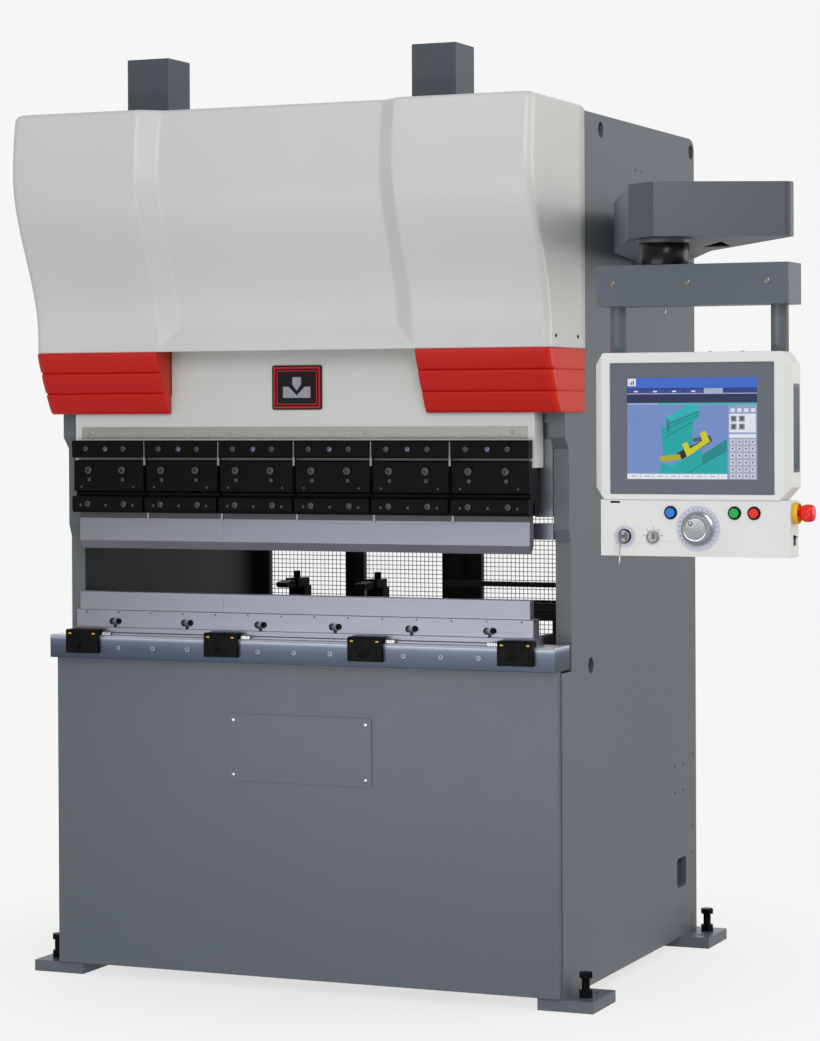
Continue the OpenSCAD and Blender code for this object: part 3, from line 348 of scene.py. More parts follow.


# Painted shade: a darker copy of the frame paint for the swing arm and the motor covers, so they read as less
# lit than the rest of the frame.
PAINTED_SHADE_FRAME_PAINT = paint("frame_paint_painted_shade", srgb(70, 77, 83), srgb(67, 74, 80), 0.36)
RULER_STEEL = steel("ruler_steel", srgb(176, 173, 166), srgb(158, 155, 148), 0.4, ALONG_X, 0.1)
ZINC = steel("zinc", srgb(150, 143, 128), srgb(128, 120, 106), 0.42, (200, 200, 200), 0.05)
NODE_FINISHES = {
    "swing_arm": PAINTED_SHADE_FRAME_PAINT, "motor_cover_left": PAINTED_SHADE_FRAME_PAINT, "motor_cover_right": PAINTED_SHADE_FRAME_PAINT,
    "ruler": RULER_STEEL,
    "table_bar": ground_front("table_front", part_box("table_bar")[0].z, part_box("table_bar")[1].z),
}
for side_name in SIDES:
    plate_low, plate_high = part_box(f"side_plate_{side_name}")
    inner_face = min(abs(plate_low.x), abs(plate_high.x))
    NODE_FINISHES[f"side_plate_{side_name}"] = side_plate_paint(
        f"side_paint_{side_name}", srgb(92, 98, 102), srgb(34, 37, 38), inner_face)


def dress_cad_nodes():
    """Each CAD node shows the finish of its slot in the record, or the tone that NODE_FINISHES gives it."""
    slot_of = {}
    for entry in frame["record"]["materials"]:
        for name in entry.get("nodes", []):
            slot_of[name] = entry["slot"]
    for name, piece in frame["nodes"].items():
        for index in range(len(piece.data.materials)):
            old = piece.data.materials[index]
            slot = slot_of.get(name) or (old.name.split(".")[0] if old else None)
            if name in NODE_FINISHES or slot in FINISHES:
                piece.data.materials[index] = NODE_FINISHES.get(name) or FINISHES[slot]


# ---- Making pieces ----

def at(x, y, z):
    """A place in millimetres from the bending line, as a point of the frame."""
    return Vector((x * MM, y * MM + bend_y, z * MM))


def from_bend(point):
    """A point of the frame, in millimetres from the bending line."""
    return Vector((point.x, point.y - bend_y, point.z)) / MM


def box_mm(node):
    """The two corners of a CAD node, in millimetres from the bending line."""
    low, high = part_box(node)
    return from_bend(low), from_bend(high)


def settle(name, mesh, body, slot, stands_for=(), smooth=None, finish=None):
    """A made mesh becomes a piece: it gets its finish, rides on its body and names its slot."""
    piece = bpy.data.objects.new(name, mesh)
    bpy.context.scene.collection.objects.link(piece)
    if not mesh.materials:
        mesh.materials.append(finish or FINISHES[slot])
    if smooth is not None:
        mesh.shade_smooth()
        mesh.set_sharp_from_angle(angle=math.radians(smooth))
    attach(piece, body)
    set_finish(piece, slot)
    if stands_for:
        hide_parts(*stands_for)
    return piece


def loose_slot(piece):
    """The piece's finish has no slot of its own in the record."""
    if "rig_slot" in piece:
        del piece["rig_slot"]
    return piece


def mesh_of(name, bm, outward=True):
    """A bmesh turned into a mesh, with its doubles merged and its faces outward."""
    bmesh.ops.remove_doubles(bm, verts=bm.verts, dist=1e-6)
    if outward:
        bmesh.ops.recalc_face_normals(bm, faces=bm.faces)
    mesh = bpy.data.meshes.new(name)
    bm.to_mesh(mesh)
    bm.free()
    return mesh


def block(bm, low, high, edge=0.0, index=0):
    """A block between two corners in millimetres, with its edges rounded."""
    verts = bmesh.ops.create_cube(bm, size=1.0)["verts"]
    low, high = at(*low), at(*high)
    size, middle = high - low, (low + high) / 2
    for vert in verts:
        vert.co = Vector(vert.co[k] * size[k] + middle[k] for k in range(3))
    faces = {face for vert in verts for face in vert.link_faces}
    for face in faces:
        face.material_index = index
    if edge:
        edges = list({e for vert in verts for e in vert.link_edges})
        made = bmesh.ops.bevel(bm, geom=edges, offset=edge * MM, segments=2, profile=0.5, affect="EDGES")
        for face in made["faces"]:
            face.material_index = index


def turned(bm, centre, axis, profile, sides=48, ring=False, index=0):
    """A turned form: profile is (radius, distance along the axis), in millimetres from centre."""
    axis = Vector(axis).normalized()
    across = axis.orthogonal().normalized()
    other = axis.cross(across)
    rows = []
    for radius, along in profile:
        middle = at(*centre) + axis * along * MM
        if radius == 0:
            rows.append([bm.verts.new(middle)])
            continue
        rows.append([
            bm.verts.new(middle + radius * MM * (across * math.cos(a) + other * math.sin(a)))
            for a in (2 * math.pi * k / sides for k in range(sides))
        ])
    pairs = list(zip(rows, rows[1:]))
    if ring:
        pairs.append((rows[-1], rows[0]))
    for first, second in pairs:
        for k in range(sides):
            n = (k + 1) % sides
            corners = [row[m % len(row)] for row, m in ((first, k), (first, n), (second, n), (second, k))]
            corners = list(dict.fromkeys(corners))
            if len(corners) > 2:
                bm.faces.new(corners).material_index = index


def sheet_of(rows):
    """A grid of points in millimetres turned into a sheet of faces."""
    bm = bmesh.new()
    grid = [[bm.verts.new(at(*p)) for p in row] for row in rows]
    for low_row, high_row in zip(grid, grid[1:]):
        for k in range(len(low_row) - 1):
            bm.faces.new((low_row[k], low_row[k + 1], high_row[k + 1], high_row[k]))
    return bm, grid


def thicken(piece, thick):
    """A sheet becomes a wall whose thickness lies behind its face."""
    wall = piece.modifiers.new("wall", "SOLIDIFY")
    wall.thickness = thick * MM
    wall.offset = -1
    wall.use_even_offset = True


# ---- Hood and corner trims ----

PILLAR_W = 352
SUNK_DEPTH = 42
SUNK_FALL = 17
LEDGE_H = 63
SLOPE_W = 59
HOOD_LIP = 96
HOOD_SWELL = 123
CROWN_R = 18
CROWN_TUCK = 17
CORNER_R = 22
HOOD_WALL = 3
TRIM_WALL = 4


def smooth_step(t):
    t = min(max(t, 0), 1)
    return t * t * (3 - 2 * t)


def soft_ramp(u, soft=0.17):
    """From 0 to 1 along a straight slope whose two ends are rounded over the share soft."""
    u = min(max(u, 0), 1)
    if u < soft:
        return u * u / (2 * soft * (1 - soft))
    if u > 1 - soft:
        return 1 - (1 - u) ** 2 / (2 * soft * (1 - soft))
    return (u - soft / 2) / (1 - soft)


def spaced(start, end, count):
    return [start + (end - start) * k / count for k in range(count + 1)]


def around(x, y, radius, degrees):
    """The point of a circle at an angle."""
    turn = math.radians(degrees)
    return x + radius * math.cos(turn), y + radius * math.sin(turn)


def hood():
    """One pressed shell: two swelling pillars, a sunk panel that ends in a mitred ledge, a round crown."""
    low, high = box_mm("hood_shell")
    half, rear, bottom, top = high.x, high.y, low.z, high.z
    inner = half - PILLAR_W
    swell_low, swell_high = bottom + 43, top - 159
    crown_low = top - CROWN_R

    def face(z):
        tuck = max(0, z - swell_high) / (top - swell_high)
        swell = smooth_step((z - swell_low) / (swell_high - swell_low))
        return -HOOD_LIP - HOOD_SWELL * swell + CROWN_TUCK * tuck ** 2

    def sunk(x, z):
        depth = SUNK_DEPTH - SUNK_FALL * (top - z) / (top - bottom - LEDGE_H)
        return depth * min(soft_ramp((inner - x) / SLOPE_W), soft_ramp((z - bottom) / LEDGE_H))

    def outline(z):
        lift = max(0, min(z, top) - crown_low)
        drawn_in = CROWN_R - math.sqrt(max(0, CROWN_R ** 2 - lift ** 2))
        corner = max(2, CORNER_R - drawn_in / 2)
        edge, y = half - drawn_in, face(z) + drawn_in
        front = spaced(0, inner - SLOPE_W, 10) + spaced(inner - SLOPE_W, inner, 18)[1:]
        front += spaced(inner, edge - corner, 10)[1:]
        points = [(x, y + sunk(x, z)) for x in front]
        for a in spaced(-90, 0, 10)[1:]:
            points.append(around(edge - corner, y + corner, corner, a))
        points += [(edge, v) for v in spaced(y + corner, rear - drawn_in, 8)[1:]]
        right = [(x, v, z) for x, v in points]
        return [(-x, v, z) for x, v, z in right[:0:-1]] + right

    levels = spaced(bottom, bottom + LEDGE_H, 18) + spaced(bottom + LEDGE_H, crown_low, 44)[1:]
    levels += [crown_low + CROWN_R * math.sin(math.radians(a)) for a in spaced(0, 90, 8)[1:]]
    bm, grid = sheet_of([outline(z) for z in levels])

    # The lid is flat, with a square opening for each motor under its cover.
    rim = [bm.edges.get((a, b)) for a, b in zip(grid[-1], grid[-1][1:])]
    rim.append(bm.edges.new((grid[-1][-1], grid[-1][0])))
    motor_low, motor_high = box_mm("servo_motors")
    for side in SIDES.values():
        outer, side_w = side * motor_high.x, motor_high.y - motor_low.y
        near = outer - side * side_w
        loop = [bm.verts.new(at(x, y, top)) for x, y in (
            (near - side * 5, motor_low.y - 5), (outer + side * 5, motor_low.y - 5),
            (outer + side * 5, motor_high.y + 5), (near - side * 5, motor_high.y + 5))]
        rim += [bm.edges.new((a, b)) for a, b in zip(loop, loop[1:] + loop[:1])]
    bmesh.ops.triangle_fill(bm, edges=rim, use_beauty=True, normal=(0, 0, 1))
    piece = settle("hood", mesh_of("hood", bm), "frame", "hood_paint", ["hood_shell"], smooth=38)
    thicken(piece, HOOD_WALL)


def tier_form(s):
    """How far a tier's face stands back at share s down its height: a groove at each end, a bulge between."""
    bulge = -1.8 * math.sin(math.pi * min(1, s * 1.02)) ** 0.7
    groove = 4.2 * max(0, 1 - s / 0.07) ** 1.6 + 3.4 * max(0, (s - 0.9) / 0.1) ** 1.5
    return bulge + groove


def corner_trim(side_name):
    """A red trim under each pillar: three rounded tiers, one moulded wall."""
    side = SIDES[side_name]
    low, high = box_mm(f"trim_{side_name}")
    outer, inner = (high.x, low.x) if side > 0 else (-low.x, -high.x)
    top, bottom, rear = high.z, low.z, high.y
    front_top, front_low, inner_r, back = HOOD_LIP + 4, 26, 7, -14
    tiers, rows_each = 3, 16
    tier_h = (top - bottom) / tiers

    def outline(z, groove):
        t = (top - z) / (top - bottom)
        y = -front_top + (front_top - front_low) * (0.72 * t + 0.28 * t * t) + groove
        x = outer - max(-0.5, groove) / 2
        points = [(inner, v) for v in spaced(back, y + inner_r, 4)]
        for a in spaced(180, 270, 6)[1:]:
            points.append(around(inner + inner_r, y + inner_r, inner_r, a))
        points += [(v, y) for v in spaced(inner + inner_r, x - CORNER_R, 12)[1:]]
        for a in spaced(-90, 0, 10)[1:]:
            points.append(around(x - CORNER_R, y + CORNER_R, CORNER_R, a))
        points += [(x, v) for v in spaced(y + CORNER_R, rear, 6)[1:]]
        return [(side * u, v, z) for u, v in points]

    groove_rows, bead_rows = [0, 0.012, 0.03, 0.05, 0.07, 0.1], [0.92, 0.95, 0.97, 0.985]
    shares = groove_rows + spaced(0.16, 0.88, rows_each - 10) + bead_rows
    rows = []
    for tier in range(tiers):
        rows += [outline(top - tier_h * (tier + s), tier_form(s)) for s in shares]
    rows.append(outline(bottom, tier_form(1)))
    bm = sheet_of(rows)[0]
    if side > 0:
        bmesh.ops.reverse_faces(bm, faces=bm.faces)
    mesh = mesh_of(f"corner_trim_{side_name}", bm, outward=False)
    piece = settle(f"corner_trim_{side_name}", mesh, "frame", "trim_red", [f"trim_{side_name}"], smooth=50)
    thicken(piece, TRIM_WALL)


# ---- What repeats, as geometry nodes ----

def new_tree(name, sizes):
    """A geometry tree with one geometry input, named sizes, and one geometry output."""
    tree = bpy.data.node_groups.new(name, "GeometryNodeTree")
    tree.interface.new_socket("Geometry", in_out="INPUT", socket_type="NodeSocketGeometry")
    for label, kind in sizes.items():
        tree.interface.new_socket(label, in_out="INPUT", socket_type=kind)
    tree.interface.new_socket("Geometry", in_out="OUTPUT", socket_type="NodeSocketGeometry")
    return tree, add_node(tree, "NodeGroupInput").outputs


def aimed(tree, direction):
    """The turn that brings the long axis to a direction."""
    return add_node(tree, "FunctionNodeAlignRotationToVector", {"Vector": direction}, axis="Z").outputs[0]


def close_tree(tree, instances, material):
    """The instances are made real and get the material that the tree is given."""
    real = add_node(tree, "GeometryNodeRealizeInstances", {"Geometry": instances}).outputs["Geometry"]
    dressed = add_node(tree, "GeometryNodeSetMaterial", {"Geometry": real, "Material": material})
    add_node(tree, "NodeGroupOutput", {"Geometry": dressed.outputs["Geometry"]})


def grow(tree, points, values, aims=None):
    """Runs a tree on points and gives back the plain mesh that comes of it."""
    mesh = bpy.data.meshes.new(tree.name)
    mesh.from_pydata([at(*p) for p in points], [], [])
    if aims:
        along = mesh.attributes.new("along", "FLOAT_VECTOR", "POINT")
        along.data.foreach_set("vector", [c for aim in aims for c in aim])
    seed = bpy.data.objects.new(tree.name, mesh)
    bpy.context.scene.collection.objects.link(seed)
    modifier = seed.modifiers.new("grow", "NODES")
    modifier.node_group = tree
    for item in tree.interface.items_tree:
        if item.in_out == "INPUT" and item.name in values:
            modifier[item.identifier] = values[item.name]
    ready = seed.evaluated_get(bpy.context.evaluated_depsgraph_get())
    made = bpy.data.meshes.new_from_object(ready)
    bpy.data.objects.remove(seed)
    return made


def screw_tree():
    """A head with a chamfer and a six-sided socket, set on every point and facing one way."""
    lengths = ("Head Radius", "Head Height", "Socket Radius", "Socket Depth")
    tree, given = new_tree("screws", {
        **{label: "NodeSocketFloat" for label in lengths},
        "Facing": "NodeSocketVector", "Material": "NodeSocketMaterial",
    })

    def times(a, b, operation="MULTIPLY"):
        return add_node(tree, "ShaderNodeMath", {0: a, 1: b}, operation=operation).outputs[0]

    def vector(inputs, operation):
        return add_node(tree, "ShaderNodeVectorMath", inputs, operation=operation).outputs[0]

    place = add_node(tree, "GeometryNodeInputPosition").outputs[0]
    parts = add_node(tree, "ShaderNodeSeparateXYZ", {0: place}).outputs
    turn = times(parts["Y"], parts["X"], "ARCTAN2")
    sector = times(times(turn, math.pi / 3, "FLOORED_MODULO"), math.pi / 6, "SUBTRACT")
    flat = add_node(tree, "ShaderNodeMath", {0: sector}, operation="COSINE").outputs[0]
    hexagon = times(math.cos(math.pi / 6), flat, "DIVIDE")

    def ring(mesh, chosen, radius):
        sideways = vector({0: place, 1: (1, 1, 0)}, "MULTIPLY")
        out = vector({0: vector({0: sideways}, "NORMALIZE"), "Scale": radius}, "SCALE")
        up = add_node(tree, "ShaderNodeCombineXYZ", {2: parts["Z"]}).outputs[0]
        spot = vector({0: out, 1: up}, "ADD")
        return add_node(tree, "GeometryNodeSetPosition", {
            "Geometry": mesh, "Selection": chosen, "Position": spot,
        }).outputs["Geometry"]

    def extrude(mesh, chosen, height):
        inputs = {"Mesh": mesh, "Offset Scale": height, "Individual": False}
        if chosen is not None:
            inputs["Selection"] = chosen
        made = add_node(tree, "GeometryNodeExtrudeMesh", inputs, mode="FACES")
        return made.outputs["Mesh"], made.outputs["Top"]

    disc = add_node(tree, "GeometryNodeMeshCircle", {"Vertices": 24, "Radius": given["Head Radius"]},
                    fill_type="NGON").outputs["Mesh"]
    body, top = extrude(disc, None, times(given["Head Height"], 0.8))
    body, top = extrude(body, top, times(given["Head Height"], 0.2))
    body = ring(body, top, times(given["Head Radius"], 0.86))
    body, top = extrude(body, top, 0.0)
    body = ring(body, top, times(given["Socket Radius"], hexagon))
    body, top = extrude(body, top, times(given["Socket Depth"], -1.0))
    aim = aimed(tree, given["Facing"])
    heads = add_node(tree, "GeometryNodeInstanceOnPoints", {
        "Points": given["Geometry"], "Instance": body, "Rotation": aim,
    }).outputs["Instances"]
    close_tree(tree, heads, given["Material"])
    return tree


def bar_tree():
    """A block of one size on every point, its long axis turned to the point's own direction."""
    tree, given = new_tree("bars", {"Size": "NodeSocketVector", "Material": "NodeSocketMaterial"})
    cube = add_node(tree, "GeometryNodeMeshCube", {"Size": given["Size"]}).outputs["Mesh"]
    along = add_node(tree, "GeometryNodeInputNamedAttribute", {"Name": "along"}, data_type="FLOAT_VECTOR")
    aim = aimed(tree, along.outputs[0])
    bars = add_node(tree, "GeometryNodeInstanceOnPoints", {
        "Points": given["Geometry"], "Instance": cube, "Rotation": aim,
    }).outputs["Instances"]
    close_tree(tree, bars, given["Material"])
    return tree


def wire_tree():
    """A welded mesh over a rectangle from its lower corner: upright wires and level wires behind them."""
    tree, given = new_tree("wires", {
        "Width": "NodeSocketFloat", "Height": "NodeSocketFloat", "Pitch": "NodeSocketFloat",
        "Wire": "NodeSocketFloat", "Material": "NodeSocketMaterial",
    })

    def math_node(a, b, operation):
        return add_node(tree, "ShaderNodeMath", {0: a, 1: b}, operation=operation).outputs[0]

    def run(length, across, level):
        count = math_node(across, given["Pitch"], "DIVIDE")
        half_wire = math_node(given["Wire"], 2.0, "DIVIDE")
        step = {"X" if not level else "Z": given["Pitch"]}
        offset = add_node(tree, "ShaderNodeCombineXYZ", step).outputs[0]
        middle = math_node(length, 2.0, "DIVIDE")
        start = {"X": middle, "Y": given["Wire"]} if level else {"Z": middle}
        start = add_node(tree, "ShaderNodeCombineXYZ", start).outputs[0]
        line = add_node(tree, "GeometryNodeMeshLine", {
            "Count": count, "Start Location": start, "Offset": offset,
        }).outputs["Mesh"]
        rod = add_node(tree, "GeometryNodeMeshCylinder", {
            "Vertices": 6, "Radius": half_wire, "Depth": length,
        }).outputs["Mesh"]
        turn = (0.0, math.pi / 2, 0.0) if level else (0.0, 0.0, 0.0)
        return add_node(tree, "GeometryNodeInstanceOnPoints", {
            "Points": line, "Instance": rod, "Rotation": turn,
        }).outputs["Instances"]

    upright = run(given["Height"], given["Width"], False)
    level = run(given["Width"], given["Height"], True)
    both = add_node(tree, "GeometryNodeJoinGeometry")
    tree.links.new(upright, both.inputs[0])
    tree.links.new(level, both.inputs[0])
    panels = add_node(tree, "GeometryNodeInstanceOnPoints", {
        "Points": given["Geometry"], "Instance": add_node(
            tree, "GeometryNodeRealizeInstances", {"Geometry": both.outputs[0]}).outputs[0],
    }).outputs["Instances"]
    close_tree(tree, panels, given["Material"])
    return tree


def screws(name, body, slot, spots, facing, head, height, socket, finish=None):
    """Socket-head screws on spots in millimetres; head and socket are radii."""
    made = grow(SCREWS, spots, {
        "Head Radius": head * MM, "Head Height": height * MM, "Socket Radius": socket * MM,
        "Socket Depth": 0.7 * height * MM, "Facing": facing, "Material": finish or FINISHES[slot],
    })
    return settle(name, made, body, slot, smooth=35)


def bars(name, body, slot, spots, aims, size, finish=None):
    """Blocks on spots, turned along aims, size across and along in millimetres."""
    made = grow(BARS, spots, {"Size": [c * MM for c in size], "Material": finish or FINISHES[slot]}, aims)
    return settle(name, made, body, slot)


# ---- Edges of the CAD parts ----

EDGE_SOFTENING = {
    "apron": 1.5, "apron_cover": 0.8, "table_bar": 1.2,
    "foot_plates": 1.5, "motor_cover_left": 3.0, "motor_cover_right": 3.0, "swing_arm": 3.0,
    "panel_hanger": 6.0, "panel_housing": 3.0, "control_box": 2.5, "holder_bodies": 0.8, "holder_clamps": 0.8,
    "die_holder": 0.5, "die_base": 0.6, "stop_1": 1.0, "stop_2": 1.0, "stop_3": 1.0, "stop_4": 1.0,
    "ram": 1.0, "mode_selector": 0.6, "key_switch": 0.4, "swivel_hub": 1.0, "levelling_screws": 1.0,
    "ram_badge": 0.6, "ruler": 0.3, "finger_left": 0.8, "finger_right": 0.8, "gauge_beam": 1.0,
    "gauge_rails": 1.0, "arm_bracket": 1.5, "power_rocker": 0.4, "panel_bezel": 0.4,
}


def soften_edges():
    """A small round on every hard edge of the CAD parts, so that the light catches it."""
    for name, width in EDGE_SOFTENING.items():
        node = frame["nodes"][name]
        weld = node.modifiers.new("weld", "WELD")
        weld.merge_threshold = 1e-5
        bevel = node.modifiers.new("edges", "BEVEL")
        bevel.width = width * MM
        bevel.segments = 2
        bevel.limit_method = "ANGLE"
        bevel.angle_limit = math.radians(35)
        bevel.use_clamp_overlap = True
        bevel.harden_normals = True


# ---- Hood front: ruler, badge and screws ----

def ruler_scale():
    """Graduations every 5 mm, longer at 10 and 50, and the ruler's fixing screws."""
    low, high = box_mm("ruler")
    half = high.x - 14
    for name, step, skip, tall in (("fives", 5, 10, 3), ("tens", 10, 50, 5), ("fifties", 50, 0, 9)):
        count = int(half // step)
        xs = [k * step for k in range(-count, count + 1) if not skip or (k * step) % skip]
        spots = [(x, low.y - 0.05, low.z + 1.5 + tall / 2) for x in xs]
        bars(f"ruler_{name}", "ram_group", "black_plastic", spots, [(0, 0, 1)] * len(spots), (0.7, 0.1, tall))
    spots = [(x, low.y, (low.z + high.z) / 2) for x in (-high.x + 28, -190, 186, high.x - 38)]
    screws("ruler_screws", "ram_group", "knob_metal", spots, (0, -1, 0), 4.5, 2.2, 2)


def flat_shape(bm, outline, depth, thick, index=0):
    """A flat form drawn in (x, z), standing thick proud of depth towards the operator."""
    front = [bm.verts.new(at(x, depth - thick, z)) for x, z in outline]
    face = bm.faces.new(front)
    face.normal_update()
    if face.normal.y > 0:
        face.normal_flip()
    face.material_index = index
    made = bmesh.ops.extrude_face_region(bm, geom=[face], use_keep_orig=True)
    back = [v for v in made["geom"] if isinstance(v, bmesh.types.BMVert)]
    for vert in back:
        vert.co.y += thick * MM
    for vert in front + back:
        for side in vert.link_faces:
            side.material_index = index


def badge():
    """A black plate with a double red border and a plain sign: a punch over a vee."""
    low, high = box_mm("ram_badge")
    middle_x, middle_z = (low.x + high.x) / 2, (low.z + high.z) / 2
    face = low.y
    bm = bmesh.new()
    for inset, width in ((4, 4.5), (13, 2.2)):
        w, h = (high.x - low.x) / 2 - inset, (high.z - low.z) / 2 - inset
        side_low, side_high = -h + width, h - width
        strips = [(-w, -h, w, side_low), (-w, side_high, w, h)]
        strips += [(-w, side_low, -w + width, side_high), (w - width, side_low, w, side_high)]
        for x0, z0, x1, z1 in strips:
            block(bm, (middle_x + x0, face - 0.8, middle_z + z0), (middle_x + x1, face, middle_z + z1), 0.2)
    settle("badge_border", mesh_of("badge_border", bm), "ram_group", "trim_red")
    bm = bmesh.new()
    punch = [(-12, 26), (12, 26), (12, 8), (0, -8), (-12, 8)]
    vee = [(-38, 2), (-22, 2), (0, -20), (22, 2), (38, 2), (38, -26), (-38, -26)]
    for outline in (punch, vee):
        flat_shape(bm, [(middle_x + x, middle_z + z) for x, z in outline], face, 0.8)
    settle("badge_sign", mesh_of("badge_sign", bm), "ram_group", "knob_metal")


# ---- Tools and table ----

def holder_screws():
    """The screws and pins of every tool holder, the strip over the punches and the wedges between holders."""
    low, high = box_mm("holder_clamps")
    body_low, body_high = box_mm("holder_bodies")
    count = 6
    pitch = (high.x - low.x + 7) / count
    middles = [(k - (count - 1) / 2) * pitch for k in range(count)]
    top_z, cover_z, foot_z = high.z - 22, body_high.z - 26, low.z + 22
    cover_y = body_low.y
    forward = (0, -1, 0)
    rows = (
        ("clamp_screws", "dark_steel", (-61, 49), low.y, top_z, (7, 3.5, 3.6)),
        ("clamp_middle_screws", "table_steel", (-4,), low.y, top_z, (6.5, 3, 3.2)),
        ("cover_screws", "dark_steel", (-57, 41), cover_y, cover_z, (10, 7, 5)),
        ("cover_set_screws", "dark_steel", (-57, 41), cover_y, cover_z - 24, (5, 2, 2.8)),
        ("cover_pins", "dark_steel", (-80, 72), cover_y, cover_z - 43, (3, 1.2, 1.4)),
        ("foot_screws", "dark_steel", (-55, 50), low.y, foot_z, (8, 4, 4.2)),
        ("foot_pins", "dark_steel", (-77, -4, 74), low.y, foot_z - 3, (3.5, 0.8, 2)),
    )
    for name, slot, offsets, y, z, (head, height, socket) in rows:
        spots = [(m + x, y, z) for m in middles for x in offsets]
        screws(name, "ram_group", slot, spots, forward, head, height, socket)
    punch_low, punch_high = box_mm("punches")
    bm = bmesh.new()
    block(bm, (punch_low.x, punch_low.y - 0.5, low.z - 15), (punch_high.x, punch_low.y + 4, low.z + 3), 0.2)
    settle("punch_seat", mesh_of("punch_seat", bm), "ram_group", "dark_steel")
    bm = bmesh.new()
    for left, right in zip(middles, middles[1:]):
        x = (left + right) / 2
        block(bm, (x - 3, low.y + 6, high.z - 64), (x + 3, low.y + 20, high.z - 3), 0.6)
        block(bm, (x - 3.4, punch_low.y - 3, low.z - 17), (x + 3.4, punch_low.y + 2, low.z + 12), 0.6)
    settle("wedge_ends", mesh_of("wedge_ends", bm), "ram_group", "tool_steel")


def table_screws():
    """Screws let into the table's face, clear of the sliding stops, and cap screws in the die slots."""
    low, high = box_mm("table_bar")
    z = (low.z + high.z) / 2
    # The heads stand out 0.12 mm, less than the gap behind a stop.
    sunk = 1.08
    spots = [(x, low.y + sunk, z) for x in (-500, -400, -300, -100, 0, 100, 300, 400, 500)]
    screws("table_screws", "frame", "knob_metal", spots, (0, -1, 0), 6.8, 1.2, 3.4, FINISHES["tool_steel"])
    holder_low, holder_high = box_mm("die_holder")
    count = 6
    pitch = (holder_high.x - holder_low.x - 18) / count
    base = box_mm("die_base")[1].z
    slots = [((k - (count - 1) / 2) * pitch + 3, holder_low.y + 14, base + 15.5) for k in range(count)]
    screws("die_slot_screws", "frame", "black_oxide", slots, (0, -1, 0), 7.5, 5, 3.6)


STOP_YELLOW = plastic("stop_yellow", srgb(222, 178, 20), 0.5)


def stop_details(number):
    """A sheet stop's clamping screw, its two yellow marks and the ribbed slide beside it."""
    body = f"sheet_stop_{number}"
    low, high = box_mm(f"stop_{number}")
    middle = (low.x + high.x) / 2
    table_top = box_mm("table_bar")[1].z
    screws(f"stop_{number}_screw", body, "black_oxide", [(middle - 6, low.y + 5, table_top - 27)],
           (0, -1, 0), 7, 5, 3.6)
    bm = bmesh.new()
    for x in (low.x + 12, high.x - 12):
        block(bm, (x - 4, low.y - 0.3, table_top + 3), (x + 4, low.y + 0.4, table_top + 6.5), 0.1)
    loose_slot(settle(f"stop_{number}_marks", mesh_of("marks", bm), body, "trim_red", finish=STOP_YELLOW))
    bm = bmesh.new()
    side = high.x + 4 if middle < 500 else low.x - 30
    for k in range(6):
        x = side + k * 4.4
        block(bm, (x, low.y + 15, table_top + 0.5), (x + 3, low.y + 30, table_top + 9), 0.5)
    block(bm, (side, low.y + 17, table_top + 0.5), (side + 25, low.y + 28, table_top + 5), 0.4)
    settle(f"stop_{number}_slide", mesh_of("slide", bm), body, "knob_metal")


# ---- Frame screws ----

def frame_screws():
    """The apron cover's corner screws, the hood's side screws and the side plate's screw."""
    low, high = box_mm("apron_cover")
    corners = [(x, low.y, z) for x in (low.x + 16, high.x - 16) for z in (low.z + 16, high.z - 16)]
    screws("apron_cover_screws", "frame", "knob_metal", corners, (0, -1, 0), 5, 2.2, 2.2)
    hood_low, hood_high = box_mm("hood_shell")
    plate_high = box_mm("side_plate_right")[1]
    for side_name, side in SIDES.items():
        spots = [(side * hood_high.x, y, hood_low.z + 28) for y in (-49, 107)]
        screws(f"hood_side_screws_{side_name}", "frame", "black_oxide", spots, (side, 0, 0), 4.5, 1.8, 2.2)
        screws(f"side_plate_screw_{side_name}", "frame", "knob_metal",
               [(side * plate_high.x, 826, 1731)], (side, 0, 0), 6.5, 3, 3)


def hatch_backs():
    """A dark plate behind the square service opening in each side plate."""
    bm = bmesh.new()
    for side_name, side in SIDES.items():
        low, high = box_mm(f"side_plate_{side_name}")
        inner = min(abs(low.x), abs(high.x))
        x0, x1 = sorted((side * (inner - 4), side * (inner - 0.3)))
        block(bm, (x0, high.y - 184, 155), (x1, high.y - 84, 255), 0.5)
    settle("hatch_backs", mesh_of("hatch_backs", bm), "frame", "dark_steel")


# ---- Rear: doors and backgauge ----

GUARD_PITCH = 12.5
GUARD_WIRE = 1.9


def rear_guard(side_name):
    """A hinged door: a tube frame with a middle post, two panels of welded mesh and its hinges."""
    side = SIDES[side_name]
    node = f"rear_door_{side_name}"
    low, high = box_mm(node)
    near, far = (low.x, high.x - 14) if side > 0 else (high.x, low.x + 14)
    left, right = min(near, far), max(near, far)
    y0, y1, post = low.y, low.y + 22, 60
    middle = (left + right) / 2
    bm = bmesh.new()
    for x0, x1 in ((left, left + post), (middle - post / 2, middle + post / 2), (right - post, right)):
        block(bm, (x0, y0, low.z), (x1, y1, high.z), 2)
    for z0, z1 in ((low.z, low.z + post), (high.z - post, high.z)):
        block(bm, (left + 1, y0 + 0.5, z0), (right - 1, y1 - 0.5, z1), 2)
    for z in (low.z + 60, high.z - 160):
        turned(bm, (far + side * 7, y0 + 7, z), (0, 0, 1), [(0, 0), (7, 0), (7, 100), (0, 100)], 20)
    body = f"door_{side_name}"
    settle(f"{node}_posts", mesh_of(node, bm), body, "door_black", [node], smooth=35)
    corners = [(left + post, y0 + 8, low.z + post), (middle + post / 2, y0 + 8, low.z + post)]
    made = grow(WIRES, corners, {
        "Width": (middle - left - 1.5 * post) * MM, "Height": (high.z - low.z - 2 * post) * MM,
        "Pitch": GUARD_PITCH * MM, "Wire": GUARD_WIRE * MM, "Material": FINISHES["dark_steel"],
    })
    settle(f"{node}_mesh", made, body, "dark_steel")


